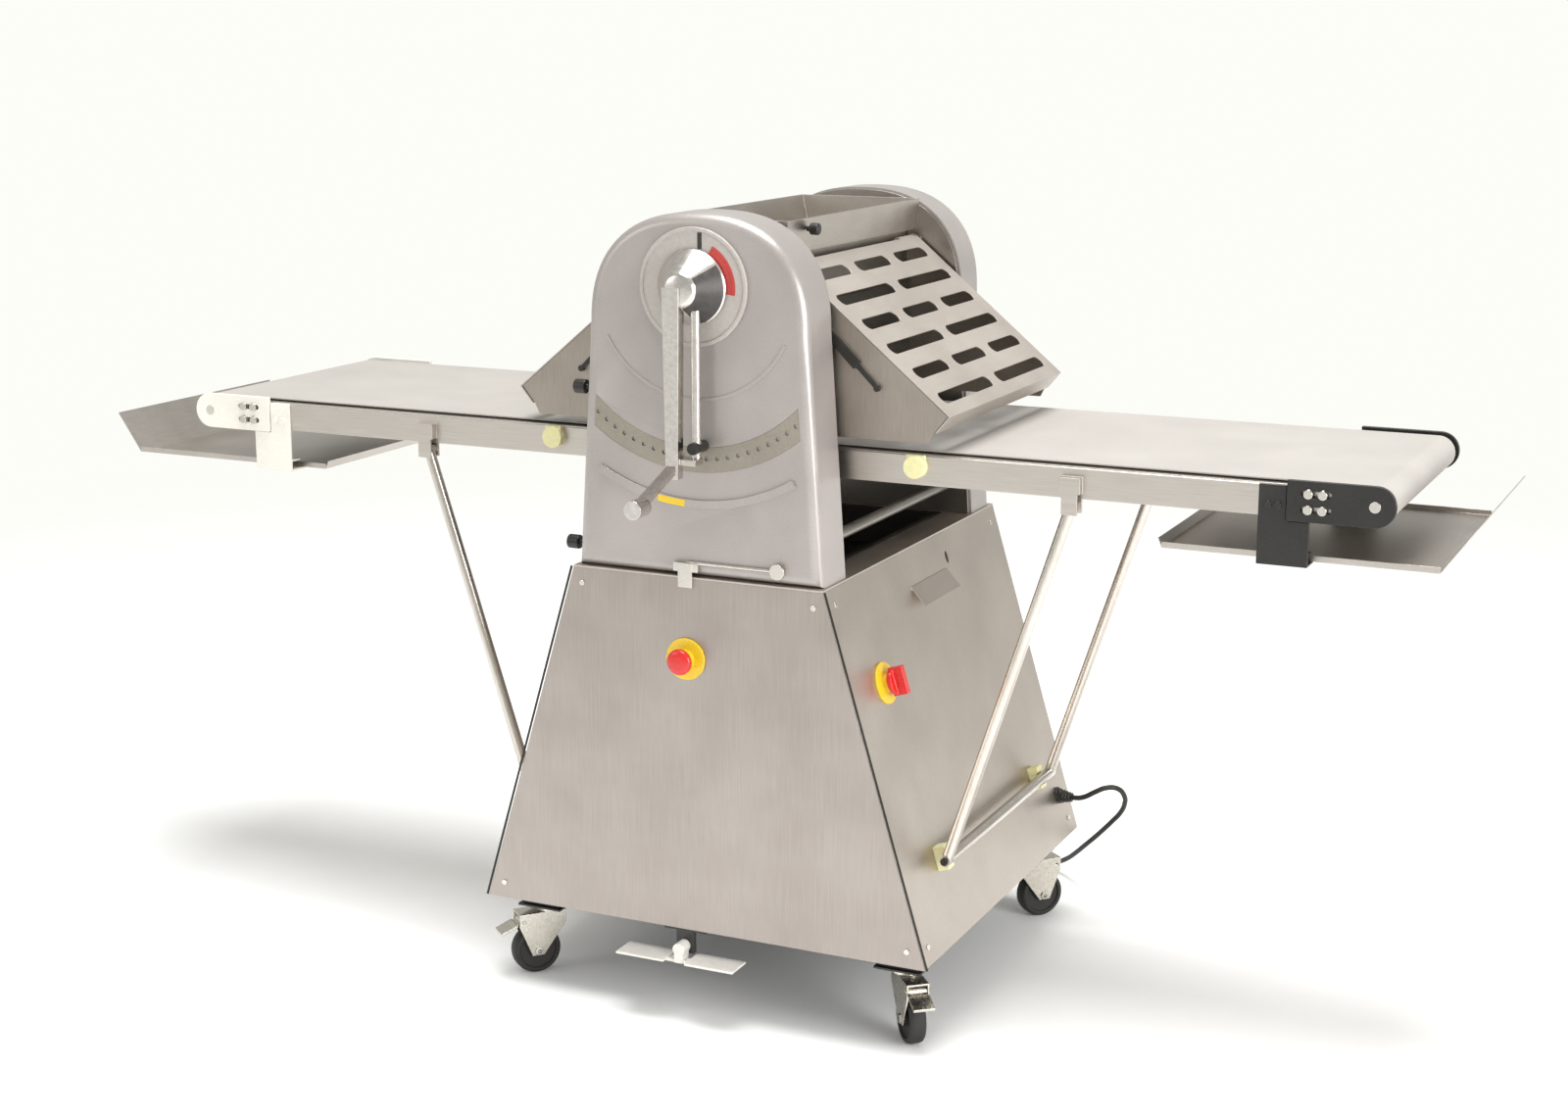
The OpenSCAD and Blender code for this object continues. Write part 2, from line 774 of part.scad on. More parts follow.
// Bent latch at the housing's foot with a rod that runs to a round screw
module housing_latch() {
    color("silver") {
        translate([latch_x - 12, -cab_y - 5, deck_z - 16]) cube([24, 5, 38]);
        translate([latch_x - 21, -cab_y - 3, deck_z + 8]) cube([42, cab_y - house_y + 3, 14]);
        translate([latch_x, -house_y - 4, deck_z + 22]) rotate([0, 90, 0])
            cylinder(r = 2.5, h = latch_screw_x - latch_x);
        rod_y(latch_screw_x, deck_z + 22, 12, -house_y - 9, -house_y);
        rod_y(latch_screw_x, deck_z + 22, screw_r, -house_y, -house_y + 14);
    }
}

// Where the sloping side of a housing is at a height above the deck
function head_x(rise) = head_half - rise * (head_half - shoulder_half) / shoulder_rise;
function pan_x(z) = pan_half - pan_flare * (pan_z1 - z) / (pan_z1 - pan_z0);

// Ball knobs on the front housing's left side, and one on the flour pan
module side_knobs() {
    color("black") {
        for (rise = [28, 272]) translate([-head_x(rise) - 0.5, -house_y + 30, deck_z + rise])
            rotate([0, -90, 0]) {
                cylinder(r = 4, h = 14);
                translate([0, 0, 12]) cylinder(r = 11, h = 20);
            }
        translate([pan_x(pan_z1 - 16) + 0.9, -190, pan_z1 - 16]) rotate([0, 90, 0]) {
            cylinder(r = 4, h = 8);
            translate([0, 0, 7]) cylinder(r = 9, h = 14);
        }
    }
}

module panel_screws() {
    color("silver") {
        for (p = corner_screws) both_y() {
            rod_y(p[0], p[1], screw_r, -cab_y, -cab_y + panel_t);
            rod_y(p[0], p[1], 4.5, -cab_y - 2, -cab_y);
        }
        for (side = [-1, 1], p = side_screws) on_side(side, p[0], p[1]) {
            translate([0, 0, -panel_t]) cylinder(r = screw_r, h = panel_t);
            cylinder(r = 4.5, h = 2);
        }
    }
}

// Rocking pedal: a pin along Y, a hub, a bar and a pad at each end
module foot_pedal() {
    pad = 84;
    color("silver") {
        rod_y(pedal_x, pedal_z, pedal_pin_r, -cab_y - 20, -cab_y + 4 + pedal_ear_t + 4);
        rod_y(pedal_x, pedal_z, 10, -cab_y - 20, -cab_y + 4 - gap);
        translate([pedal_x - 8, -cab_y - 20, pedal_z - 22]) cube([16, 20, 16]);
        translate([pedal_x - pedal_len / 2 + 10, -cab_y - 18, pedal_z - 22])
            cube([pedal_len - 20, 14, 5]);
        for (s = [-1, 1]) translate([pedal_x + s * (pedal_len - pad) / 2 - pad / 2,
                                     -cab_y - 36, pedal_z - 17])
            cube([pad, 48, 4]);
    }
}

// ---------- Tables ----------

rail_z0 = axis_z - rail_h / 2 - 3;
rail_z1 = rail_z0 + rail_h;
rail_end = table_reach - 41;

// Side rails, slider bed, cross tubes, strut brackets and guard rests
module table_frame() {
    color("silver") {
        both_y() difference() {
            union() {
                xz(-rail_y, -rail_y + rail_t)
                    polygon([[fold_x, rail_z0], [rail_end, rail_z0], [rail_end, rail_z1],
                             [fold_x, rail_z1], [fold_x - 12, rail_z1 - 8],
                             [fold_x - 12, rail_z0 + 8]]);
                rod_y(fold_x, axis_z, 16, -rail_y - 2, -rail_y + rail_t + 6);
            }
            rod_y(fold_x, axis_z, axle_r + run, -rail_y - 3, -rail_y + 20);
        }
        both_y() translate([fold_x + 50, -rail_y + rail_t, rail_z0])
            cube([rail_end - fold_x - 50, 10, 2]);
        translate([fold_x + 32, -rail_y + rail_t, rail_z1 - 2])
            cube([table_reach - fold_x - 64, 2 * (rail_y - rail_t), 4]);
        for (x = [fold_x + 60, (fold_x + rail_end) / 2, rail_end - 60])
            translate([x, -rail_y + rail_t, rail_z0 + 12])
                cube([25, 2 * (rail_y - rail_t), rail_h - 14]);
        both_y() strut_bracket();
    }
    color("khaki") both_y() {
        rod_y(rest_x, axis_z + 3, 17, -rail_y - 13, -rail_y);
        translate([rest_x - 14, -rail_y - 8, axis_z + 3]) cube([28, 8, 18]);
    }
}

// Hinge plates below the rail with the strut's rivet
module strut_bracket() {
    translate([strut_x - 16, -rail_y - 12, rail_z0 + 8]) cube([32, 12, 24]);
    translate([strut_x - 12, -leg_y - strut_r - 4, pivot_z - 12])
        cube([24, 3.5, rail_z0 + 20 - pivot_z + 12]);
    translate([strut_x - 12, -leg_y + strut_r + 0.5, pivot_z - 12])
        cube([24, 3.5, rail_z0 - pivot_z + 12]);
    rod_y(strut_x, pivot_z, 5, -leg_y - strut_r - 4, -leg_y + strut_r + 4);
}

module belt() {
    color("ivory") translate([fold_x, 0, axis_z]) xz(-belt_w / 2, belt_w / 2) difference() {
        polygon(stadium(table_reach - fold_x, belt_out, 24));
        polygon(stadium(table_reach - fold_x, belt_in, 24));
    }
}

module drive_roller() {
    color("silver") {
        rod_y(fold_x, axis_z, drum_r, -drum_half, drum_half);
        rod_y(fold_x, axis_z, axle_r, -house_in - 6, house_in + 6);
    }
}

module end_roller() {
    color("silver") {
        rod_y(table_reach, axis_z, drum_r, -drum_half, drum_half);
        rod_y(table_reach, axis_z, axle_r, -rail_y - 8, rail_y + 8);
    }
}

arm_start = table_reach - 121;
arm_r = 29;
slot_r = 4;

// Arms that carry the end roller, with their tensioning slots, and the tray's hangers
module end_brackets() {
    both_y() {
        difference() {
            translate([arm_start, 0, axis_z]) xz(-rail_y - 8, -rail_y)
                polygon(concat([[0, -arm_r]], [for (i = [0 : 20]) let (t = -90 + 9 * i)
                    [table_reach - arm_start + arm_r * cos(t), arm_r * sin(t)]], [[0, arm_r]]));
            rod_y(table_reach, axis_z, axle_r + run, -rail_y - 9, -rail_y + 1);
            for (z = [-11, 11]) translate([arm_start + 24, 0, axis_z + z])
                xz(-rail_y - 9, -rail_y + 1) polygon(stadium(34, slot_r, 8));
        }
        for (z = [-11, 11], x = [30, 50]) {
            rod_y(arm_start + x, axis_z + z, 3, -rail_y - 8, -rail_y);
            rod_y(arm_start + x, axis_z + z, 6.5, -rail_y - 12, -rail_y - 8);
        }
        xz(-rail_y - 4, -rail_y)
            polygon([[hanger_x, tray_z - 2 * lip_t], [hanger_x + hanger_w, tray_z - 2 * lip_t],
                     [hanger_x + hanger_w, axis_z - arm_r - 1],
                     [arm_start - 1, axis_z - arm_r - 1],
                     [arm_start - 1, rail_z1 + 1], [hanger_x, rail_z1 + 1]]);
        translate([hanger_x, -rail_y, tray_z - 2 * lip_t])
            cube([hanger_w, rail_y - tray_half + 12, lip_t]);
        translate([hanger_x, -rail_y, tray_z + 2 * lip_t + tray_t + 2.3])
            cube([hanger_w, rail_y - tray_half - 4, lip_t]);
        for (x = [14, 34]) rod_y(hanger_x + 4 + x * 0.7, axis_z - 8, 5, -rail_y - 8, -rail_y - 4);
    }
}

lip_len = 46;
lip_h = 66;

// Tray with low sides, a small inner lip and a tall slanted outer lip
module catch_tray(out) {
    x0 = tray_start + out;
    x1 = x0 + tray_len;
    z = tray_z - lip_t + gap;
    color("silver") {
        translate([x0, -tray_half, z]) cube([tray_len, 2 * tray_half, tray_t]);
        both_y() translate([x0, -tray_half, z]) cube([tray_len, tray_t, 9]);
        xz(-tray_half, tray_half) polygon([[x0, z], [x0 + tray_t, z], [x0 + tray_t - 6, z + 14],
                                           [x0 - 6, z + 14]]);
        xz(-tray_half, tray_half) polygon([[x1 - tray_t, z], [x1, z], [x1 + lip_len, z + lip_h],
                                           [x1 + lip_len - tray_t, z + lip_h]]);
    }
}

// U-shaped strut: two legs, a crossbar and dark end pins
module strut() {
    color("silver") {
        both_y() difference() {
            union() {
                translate([foot_x, -leg_y, strut_z]) rotate([0, strut_a, 0])
                    cylinder(r = strut_r - 0.2, h = strut_len);
                rod_y(strut_x, pivot_z, strut_r, -leg_y - strut_r, -leg_y + strut_r);
            }
            rod_y(strut_x, pivot_z, 5 + run, -leg_y - 20, -leg_y + 20);
        }
        rod_y(foot_x, strut_z, strut_r, -leg_y - strut_r, leg_y + strut_r);
    }
    color("black") both_y() rod_y(foot_x, strut_z, 6, -leg_y - strut_r - 5, -leg_y - strut_r);
}

bar_off = (foot_x - side_x(strut_z)) * cos(lean_a);

// Plastic saddles on the side panels, each with a notch for the crossbar
module strut_saddles() {
    color("khaki") for (side = [-1, 1], y = [-1, 1])
        on_side(side, y * (leg_y - 22), strut_z - 26 * sin(lean_a) * cos(lean_a))
            difference() {
                translate([-19, -11, 0]) cube([38, 22, bar_off - 0.6 * strut_r]);
                translate([-strut_r - gap, -12, bar_off - strut_r - gap])
                    cube([2 * strut_r + 2 * gap, 24, strut_r]);
            }
}

// ---------- Guards ----------

skirt_low = belt_z + 14;

// Flat damper on the skirt beside the operator: black body, bright rod and its bolt
damper_at = [57, -81];
damper_angle = 44.7;
damper_len = 129;
damper_body = 84;
damper_t = 7;

module guard_damper() {
    y1 = -skirt_y - skirt_t;
    translate([guard_x + damper_at[0], 0, guard_z + damper_at[1]]) rotate([0, damper_angle, 0]) {
        color("black") translate([0, y1 - damper_t, -7]) cube([damper_body, damper_t, 14]);
        color("silver") {
            translate([damper_body, y1 - damper_t + 1, -3])
                cube([damper_len - damper_body, damper_t - 1, 6]);
            rod_y(damper_len, 0, 5, y1 - damper_t, y1);
        }
    }
}

// Two skirts that turn on the hinge rods
module guard_arms() {
    guard_damper();
    color("silver") both_y() difference() {
        union() {
            xz(-skirt_y - skirt_t, -skirt_y)
                polygon([on_guard(-9, skirt_top), on_guard(guard_len - 4, skirt_top),
                         on_guard(guard_len - 4, -26), [guard_x + 229, skirt_low],
                         [guard_x - 5, skirt_low], [guard_x - 4, guard_z - 40],
                         on_guard(-9, -12)]);
            rod_y(guard_x, guard_z, knuckle_r, -skirt_y - skirt_t - 2, -skirt_y);
        }
        rod_y(guard_x, guard_z, hinge_r + run, -skirt_y - 10, -skirt_y + 10);
    }
}

module slot_row(i) {
    count = i % 2 == 0 ? 3 : 2;
    len = count == 3 ? 103 : 185;
    step = count == 3 ? 159 : 239;
    for (k = [0 : count - 1]) translate([slot_first + i * slot_pitch, (k - (count - 1) / 2) * step, 0])
        rotate([0, 0, 90]) translate([-len / 2, 0, 0]) linear_extrude(20)
            polygon(stadium(len, slot_h / 2, 8));
}

// Slotted sheet from the hinge rod down to a bent lip
module guard_grille() {
    top = knuckle_r;
    half = skirt_y + skirt_t;
    color("silver") translate([guard_x, 0, guard_z]) rotate([0, guard_angle, 0]) {
        difference() {
            union() {
                translate([0, -half, top - 2]) cube([guard_len, 2 * half, 2]);
                translate([guard_len - 2, -half, top - 34]) cube([2, 2 * half, 34]);
                both_y() translate([0, -rail_y, 0]) rotate([-90, 0, 0])
                    cylinder(r = knuckle_r, h = 60);
            }
            both_y() translate([0, -rail_y - 1, 0]) rotate([-90, 0, 0])
                cylinder(r = hinge_r + run, h = 62);
            both_y() translate([0, -half - 1, 0]) rotate([-90, 0, 0])
                cylinder(r = knuckle_r + gap, h = half + 1 - skirt_y + gap);
            for (i = [0 : 5]) translate([0, 0, top - 12]) slot_row(i);
        }
    }
}

// ---------- Castors ----------

fork_top = castor_h - 4 - race_h - gap;
leg_gap = wheel_w / 2 + 2;
brake_x = trail + 24;
brake_z = wheel_r + 52;

// Swivel places: front right, front left, rear right, rear left, and where each trails
castor_spots = [[1, -1, -50], [-1, -1, -130], [1, 1, 50], [-1, 1, 130]];

module at_castor(i) {
    s = castor_spots[i];
    translate([s[0] * castor_x, s[1] * castor_y, 0]) rotate([0, 0, s[2]]) children();
}

module castor_fork(i) {
    color("lightgray") at_castor(i) {
        translate([0, 0, fork_top - 5]) cylinder(r = race_r - 2, h = 5);
        translate([0, 0, fork_top - 1]) cylinder(r = king_r, h = 20);
        translate([-20, -leg_gap - 3, fork_top - 8]) cube([brake_x + 28, 2 * leg_gap + 6, 3]);
        both_y() difference() {
            xz(-leg_gap - 3, -leg_gap)
                polygon([[-20, fork_top - 5], [brake_x + 8, fork_top - 5],
                         [brake_x + 8, brake_z - 8], [trail + 11, wheel_r - 8],
                         [trail - 9, wheel_r - 8], [-20, fork_top - 26]]);
            rod_y(brake_x, brake_z, 3 + run, -leg_gap - 4, -leg_gap + 1);
        }
        rod_y(trail, wheel_r, 5, -leg_gap - 6, leg_gap + 6);
    }
}

module castor_wheel(i) {
    color("black") at_castor(i) difference() {
        union() {
            rod_y(trail, wheel_r, wheel_r, -wheel_w / 2, wheel_w / 2);
            rod_y(trail, wheel_r, 12, -leg_gap + 0.5, leg_gap - 0.5);
        }
        rod_y(trail, wheel_r, 5 + run, -leg_gap, leg_gap);
        both_y() difference() {
            rod_y(trail, wheel_r, wheel_r - 9, -wheel_w / 2 - 1, -wheel_w / 2 + 5);
            rod_y(trail, wheel_r, 12, -wheel_w, wheel_w);
        }
    }
}

module castor_brake(i) {
    color("lightgray") at_castor(i) {
        rod_y(brake_x, brake_z, 3, -leg_gap - 3, leg_gap + 3);
        rod_y(brake_x, brake_z, 6, -leg_gap + 0.5, leg_gap - 0.5);
        translate([brake_x, 0, brake_z]) rotate([0, 22, 0])
            union() {
                translate([2, -leg_gap + 2, -2]) cube([12, 2 * leg_gap - 4, 4]);
                translate([12, -leg_gap - 2, -2.5]) cube([30, 2 * leg_gap + 4, 5]);
            }
    }
}

// ---------- Mains lead ----------

coil_c = [80, 500];
coil_mid = 50;

// Route from the gland over a loop and down to the coil on the floor
cord_pts = [[386, 308, 217], [395, 308, 217.5], [407, 308.5, 221], [424, 311, 231],
            [442, 319, 239], [458, 332, 236], [466, 348, 219], [462, 364, 198],
            [450, 379, 176],
            [432, 393, 154], [411, 410, 130], [390, 427, 107], [367, 445, 83],
            [345, 465, 60], [322, 487, 38], [298, 507, 21], [272, 525, 9],
            [246, 538, 5], [219, 547, 4.6], [192, 552, 4.6], [165, 554.5, 4.6],
            [138, 554.5, 4.6], [112, 554.5, 4.6]];
// Short tail from the coil's upper turn to the plug
tail_pts = [[112, 445.5, 13.6], [128, 445.5, 13.7], [144, 446, 14.5], [160, 446, 16.5],
            [175, 446, 18], [190, 446, 18]];

function unit(v) = v / norm(v);

// Sweeps a ring of sides along points; the reference vector is never along the route
module tube(pts, r, sides = 10) {
    ref = unit([1, -1, 0.6]);
    n = len(pts);
    rings = [for (i = [0 : n - 1])
        let (d = unit(pts[min(i + 1, n - 1)] - pts[max(i - 1, 0)]),
             u = unit(cross(d, ref)), w = cross(d, u))
        for (k = [0 : sides - 1]) pts[i] + r * (cos(360 * k / sides) * u + sin(360 * k / sides) * w)];
    walls = [for (i = [0 : n - 2], k = [0 : sides - 1])
        let (a = i * sides + k, b = i * sides + (k + 1) % sides)
        [a, a + sides, b + sides, b]];
    ends = [[for (k = [0 : sides - 1]) k],
            [for (k = [sides - 1 : -1 : 0]) (n - 1) * sides + k]];
    polyhedron(rings, concat(walls, ends));
}

module power_cord() {
    color("black") {
        tube(cord_pts, cord_r);
        tube(tail_pts, cord_r);
    }
}

module cord_coil() {
    half = coil_turns * cord_r;
    color("black") translate([coil_c[0], coil_c[1], 0]) rotate_extrude()
        translate([coil_mid - half, 0]) square([2 * half, 2 * half]);
}

// Round-bodied plug lying on the floor, with two pins
module cord_plug() {
    color("black") translate([190, 446, 18]) rotate([0, 90, 0]) {
        cylinder(r1 = 8, r2 = 12, h = 14);
        translate([0, 0, 14 - e]) cylinder(r = 18, h = 26);
    }
    color("silver") for (s = [-9.5, 9.5]) translate([230, 446 + s, 18]) rotate([0, 90, 0])
        cylinder(r = 2.4, h = 19);
}

base_frame();
cabinet_front_panel();
cabinet_rear_panel();
cabinet_side_panels();
top_deck();
crumb_tray();
underframe_brackets();
front_side_housing();
rear_side_housing();
cheek_plates();
cross_members();
top_tray();
dial_plate();
gap_scale_plate();
strut_saddles();
control_plates();
cord_gland();
drive_unit();
housing_latch();
side_knobs();
panel_screws();
motor_pulley();
foot_pedal();
estop_button();
switch_knob();
gap_lever();
upper_bearing_blocks();
lower_roller();
upper_roller();
table_frame();  // right_table_frame
left() table_frame();  // left_table_frame
belt();  // right_belt
left() belt();  // left_belt
drive_roller();  // right_drive_roller
left() drive_roller();  // left_drive_roller
end_roller();  // right_end_roller
left() end_roller();  // left_end_roller
color("black") end_brackets();  // right_end_brackets
color("white") left() end_brackets();  // left_end_brackets
catch_tray(right_tray_out);  // right_catch_tray
left() catch_tray(left_tray_out);  // left_catch_tray
strut();  // right_strut
left() strut();  // left_strut
guard_arms();  // right_guard_arms
left() guard_arms();  // left_guard_arms
guard_grille();  // right_guard_grille
left() guard_grille();  // left_guard_grille
castor_fork(0);  // front_right_castor_fork
castor_fork(1);  // front_left_castor_fork
castor_fork(2);  // rear_right_castor_fork
castor_fork(3);  // rear_left_castor_fork
castor_wheel(0);  // front_right_castor_wheel
castor_wheel(1);  // front_left_castor_wheel
castor_wheel(2);  // rear_right_castor_wheel
castor_wheel(3);  // rear_left_castor_wheel
castor_brake(0);  // front_right_castor_brake
castor_brake(1);  // front_left_castor_brake
power_cord();
cord_coil();
cord_plug();
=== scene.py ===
import json
from math import atan2, cos, degrees, pi, radians, sin

import bmesh
import bpy
from mathutils import Matrix, Vector

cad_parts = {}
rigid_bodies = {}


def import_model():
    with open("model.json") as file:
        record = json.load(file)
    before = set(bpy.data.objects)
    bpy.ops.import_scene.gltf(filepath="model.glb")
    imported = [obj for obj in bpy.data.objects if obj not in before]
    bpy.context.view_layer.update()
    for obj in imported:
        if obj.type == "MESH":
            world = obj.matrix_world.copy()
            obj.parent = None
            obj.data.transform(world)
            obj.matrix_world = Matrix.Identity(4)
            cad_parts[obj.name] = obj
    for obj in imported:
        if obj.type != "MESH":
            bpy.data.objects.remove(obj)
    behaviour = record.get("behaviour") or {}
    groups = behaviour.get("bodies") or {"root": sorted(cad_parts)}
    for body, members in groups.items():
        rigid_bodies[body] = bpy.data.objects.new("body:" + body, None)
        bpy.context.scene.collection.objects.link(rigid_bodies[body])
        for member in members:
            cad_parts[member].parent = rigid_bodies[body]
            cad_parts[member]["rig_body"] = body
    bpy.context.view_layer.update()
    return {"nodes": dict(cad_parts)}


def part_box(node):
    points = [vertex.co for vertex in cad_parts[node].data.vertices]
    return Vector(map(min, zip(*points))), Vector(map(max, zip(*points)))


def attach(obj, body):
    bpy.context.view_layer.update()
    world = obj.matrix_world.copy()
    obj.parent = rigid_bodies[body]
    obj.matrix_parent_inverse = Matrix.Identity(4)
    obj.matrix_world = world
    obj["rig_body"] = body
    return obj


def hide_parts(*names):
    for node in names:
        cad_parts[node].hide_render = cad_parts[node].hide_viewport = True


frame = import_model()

MM = 0.001


# ---------------------------------------------------------------- camera
# A short telephoto at eye height, a few steps out from the front right
# corner of the machine, looking slightly down at the two tables.
camera = bpy.data.objects.new("camera", bpy.data.cameras.new("camera"))
camera.location = (1.5992, -3.4602, 1.5283)
camera.rotation_euler = (radians(90 - 12.725), 0, radians(25.09))
camera.data.lens = 54.716
camera.data.sensor_width = 36
camera.data.clip_end = 60
bpy.context.scene.collection.objects.link(camera)
bpy.context.scene.camera = camera


# ---------------------------------------------------------------- mains lead
# Three-core rubber lead, 9 mm across. It leaves the gland low on the right
# side panel, loops over, drops to the floor and is wound into a flat coil
# behind the cabinet, with a moulded plug on its end.
def linear(colour):
    """An sRGB hex colour as the linear RGBA that shaders take."""
    parts = [int(colour[i:i + 2], 16) / 255 for i in (1, 3, 5)]
    return [c / 12.92 if c <= 0.04045 else ((c + 0.055) / 1.055) ** 2.4 for c in parts] + [1]


def add_node(tree, kind, settings=None, links=None):
    """Adds a shader node, sets its properties and fills or links its inputs."""
    node = tree.nodes.new("ShaderNode" + kind)
    for name, value in (settings or {}).items():
        setattr(node, name, value)
    for name, value in (links or {}).items():
        if isinstance(value, bpy.types.NodeSocket):
            tree.links.new(value, node.inputs[name])
        else:
            node.inputs[name].default_value = value
    return node


def make_material(name, tones, grain_mm, roughness, metallic=0.0, bump_mm=0.0, sockets=None):
    """Colour and roughness drift between two values with a grain of a real size.

    grain_mm is the grain's size along X, Y and Z; a broad cloud forty times
    as large lies under it, so that big faces aren't one even tone.
    """
    material = bpy.data.materials.new(name)
    material.use_nodes = True
    tree = material.node_tree
    shader = tree.nodes["Principled BSDF"]
    place = add_node(tree, "TexCoord").outputs["Object"]
    fine_at = add_node(tree, "Mapping", links={
        "Vector": place, "Scale": [1 / (g * MM) for g in grain_mm]})
    broad_at = add_node(tree, "Mapping", links={
        "Vector": place, "Scale": [1 / (40 * max(grain_mm[0], 3) * MM)] * 3})
    fine = add_node(tree, "TexNoise", links={
        "Vector": fine_at.outputs[0], "Scale": 1, "Detail": 2, "Roughness": 0.6})
    broad = add_node(tree, "TexNoise", links={
        "Vector": broad_at.outputs[0], "Scale": 1, "Detail": 3, "Roughness": 0.5})
    both = add_node(tree, "Math", {"operation": "MULTIPLY_ADD"}, {0: fine.outputs[0], 1: 0.45})
    tree.links.new(
        add_node(tree, "Math", {"operation": "MULTIPLY"}, {0: broad.outputs[0], 1: 0.55}).outputs[0],
        both.inputs[2])
    ramp = add_node(tree, "ValToRGB", links={0: both.outputs[0]})
    ramp.color_ramp.elements[0].position = 0.36
    ramp.color_ramp.elements[1].position = 0.64
    ramp.color_ramp.elements[0].color = linear(tones[0])
    ramp.color_ramp.elements[1].color = linear(tones[1])
    tree.links.new(ramp.outputs[0], shader.inputs["Base Color"])
    matt = add_node(tree, "MapRange", links={
        "Value": both.outputs[0], "From Min": 0.3, "From Max": 0.7,
        "To Min": roughness[0], "To Max": roughness[1]})
    tree.links.new(matt.outputs[0], shader.inputs["Roughness"])
    if bump_mm:
        bump = add_node(tree, "Bump", links={
            "Height": fine.outputs[0], "Strength": 1, "Distance": bump_mm * MM})
        tree.links.new(bump.outputs[0], shader.inputs["Normal"])
    shader.inputs["Metallic"].default_value = metallic
    for socket, value in (sockets or {}).items():
        shader.inputs[socket].default_value = value
    return material


# Moulded rubber: a fine satin skin, nearly black.
black_rubber = make_material("moulded_black_rubber", ("#15140F", "#211F1A"), (1.2, 1.2, 1.2),
                             (0.38, 0.52), bump_mm=0.03, sockets={"Specular IOR Level": 0.45})

cord_diameter = 9
cord_route = [
    (386, 308, 217), (395, 308, 217.5), (407, 308.5, 221), (424, 311, 231),
    (442, 319, 239), (458, 332, 236), (466, 348, 219), (462, 364, 198),
    (450, 379, 176), (432, 393, 154), (411, 410, 130), (390, 427, 107),
    (367, 445, 83), (345, 465, 60), (322, 487, 38), (298, 507, 21),
    (272, 525, 9), (246, 538, 5), (219, 547, 4.6), (192, 552, 4.6),
    (165, 554.5, 4.6), (138, 554.5, 4.6), (112, 554.5, 4.6)]
coil_centre = (80, 500)
coil_radii = (54.5, 45.5)
coil_levels = (4.6, 13.6)
coil_turns = 3.5
points_per_turn = 20
cord_tail = [(104, 445.5, 13.6), (122, 445.6, 13.9), (140, 445.9, 15.1), (158, 446, 16.8),
             (174, 446, 17.8), (190, 446, 18)]


def eased(x, start, end):
    """0 before start, 1 after end, and a smooth rise between."""
    t = min(max((x - start) / (end - start), 0), 1)
    return t * t * (3 - 2 * t)


# Four strands, two by two: out to in, up a layer, and back out again.
coil = []
for i in range(int(coil_turns * points_per_turn) + 1):
    turn = i / points_per_turn
    inward = eased(turn, 0.8, 1) - eased(turn, 2.5, 2.65)
    radius = coil_radii[0] + (coil_radii[1] - coil_radii[0]) * inward
    level = coil_levels[0] + (coil_levels[1] - coil_levels[0]) * eased(turn, 1.65, 1.8)
    angle = radians(90) + 2 * pi * turn
    coil.append((coil_centre[0] + radius * cos(angle), coil_centre[1] + radius * sin(angle), level))

cord_curve = bpy.data.curves.new("mains_lead", "CURVE")
cord_curve.dimensions = "3D"
cord_curve.bevel_depth = cord_diameter / 2 * MM
cord_curve.bevel_resolution = 5
cord_curve.resolution_u = 6
cord_curve.use_fill_caps = True
spline = cord_curve.splines.new("BEZIER")
cord_points = cord_route + coil + cord_tail
spline.bezier_points.add(len(cord_points) - 1)
for knot, point in zip(spline.bezier_points, cord_points):
    knot.co = Vector(point) * MM
    knot.handle_left_type = knot.handle_right_type = "AUTO"
mains_lead = bpy.data.objects.new("mains_lead", cord_curve)
bpy.context.scene.collection.objects.link(mains_lead)
cord_curve.materials.append(black_rubber)
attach(mains_lead, "base")
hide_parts("power_cord", "cord_coil")


def new_verts(bm, known):
    return [v for v in bm.verts if v not in known]


def facing(at, axis):
    """Stands a shape drawn about +Z at a point, with its +Z along axis."""
    return Matrix.Translation(Vector(at)) @ Vector(axis).to_track_quat("Z", "Y").to_matrix().to_4x4()


def turn_on_lathe(bm, profile, where, steps=48):
    """Adds a turned shape; profile is (radius, height) pairs in mm."""
    known = set(bm.verts)
    line = [bm.verts.new((r * MM, 0, h * MM)) for r, h in profile]
    edges = [bm.edges.new(pair) for pair in zip(line, line[1:])]
    bmesh.ops.spin(bm, geom=line + edges, cent=(0, 0, 0), axis=(0, 0, 1), angle=2 * pi,
                   steps=steps, use_merge=True)
    bmesh.ops.remove_doubles(bm, verts=new_verts(bm, known), dist=0.001 * MM)
    made = new_verts(bm, known)
    bmesh.ops.recalc_face_normals(bm, faces=list({f for v in made for f in v.link_faces}))
    bmesh.ops.transform(bm, matrix=where, verts=made)
    return made


def add_block(bm, low, high, where=Matrix.Identity(4)):
    """Adds a rectangular block between two corners, in mm."""
    low, high = Vector(low) * MM, Vector(high) * MM
    size = Matrix.Diagonal((*(high - low), 1))
    return bmesh.ops.create_cube(
        bm, size=1, matrix=where @ Matrix.Translation((low + high) / 2) @ size)["verts"]


def add_plate(bm, outline, thickness, where):
    """Adds a flat plate cut to an outline in mm, thickness along its own +Z."""
    known = set(bm.verts)
    face = bm.faces.new([bm.verts.new((x * MM, y * MM, 0)) for x, y in outline])
    raised = bmesh.ops.extrude_face_region(bm, geom=[face])["geom"]
    bmesh.ops.translate(bm, vec=(0, 0, thickness * MM),
                        verts=[g for g in raised if isinstance(g, bmesh.types.BMVert)])
    made = new_verts(bm, known)
    bmesh.ops.recalc_face_normals(bm, faces=list({f for v in made for f in v.link_faces}))
    bmesh.ops.transform(bm, matrix=where, verts=made)
    return made


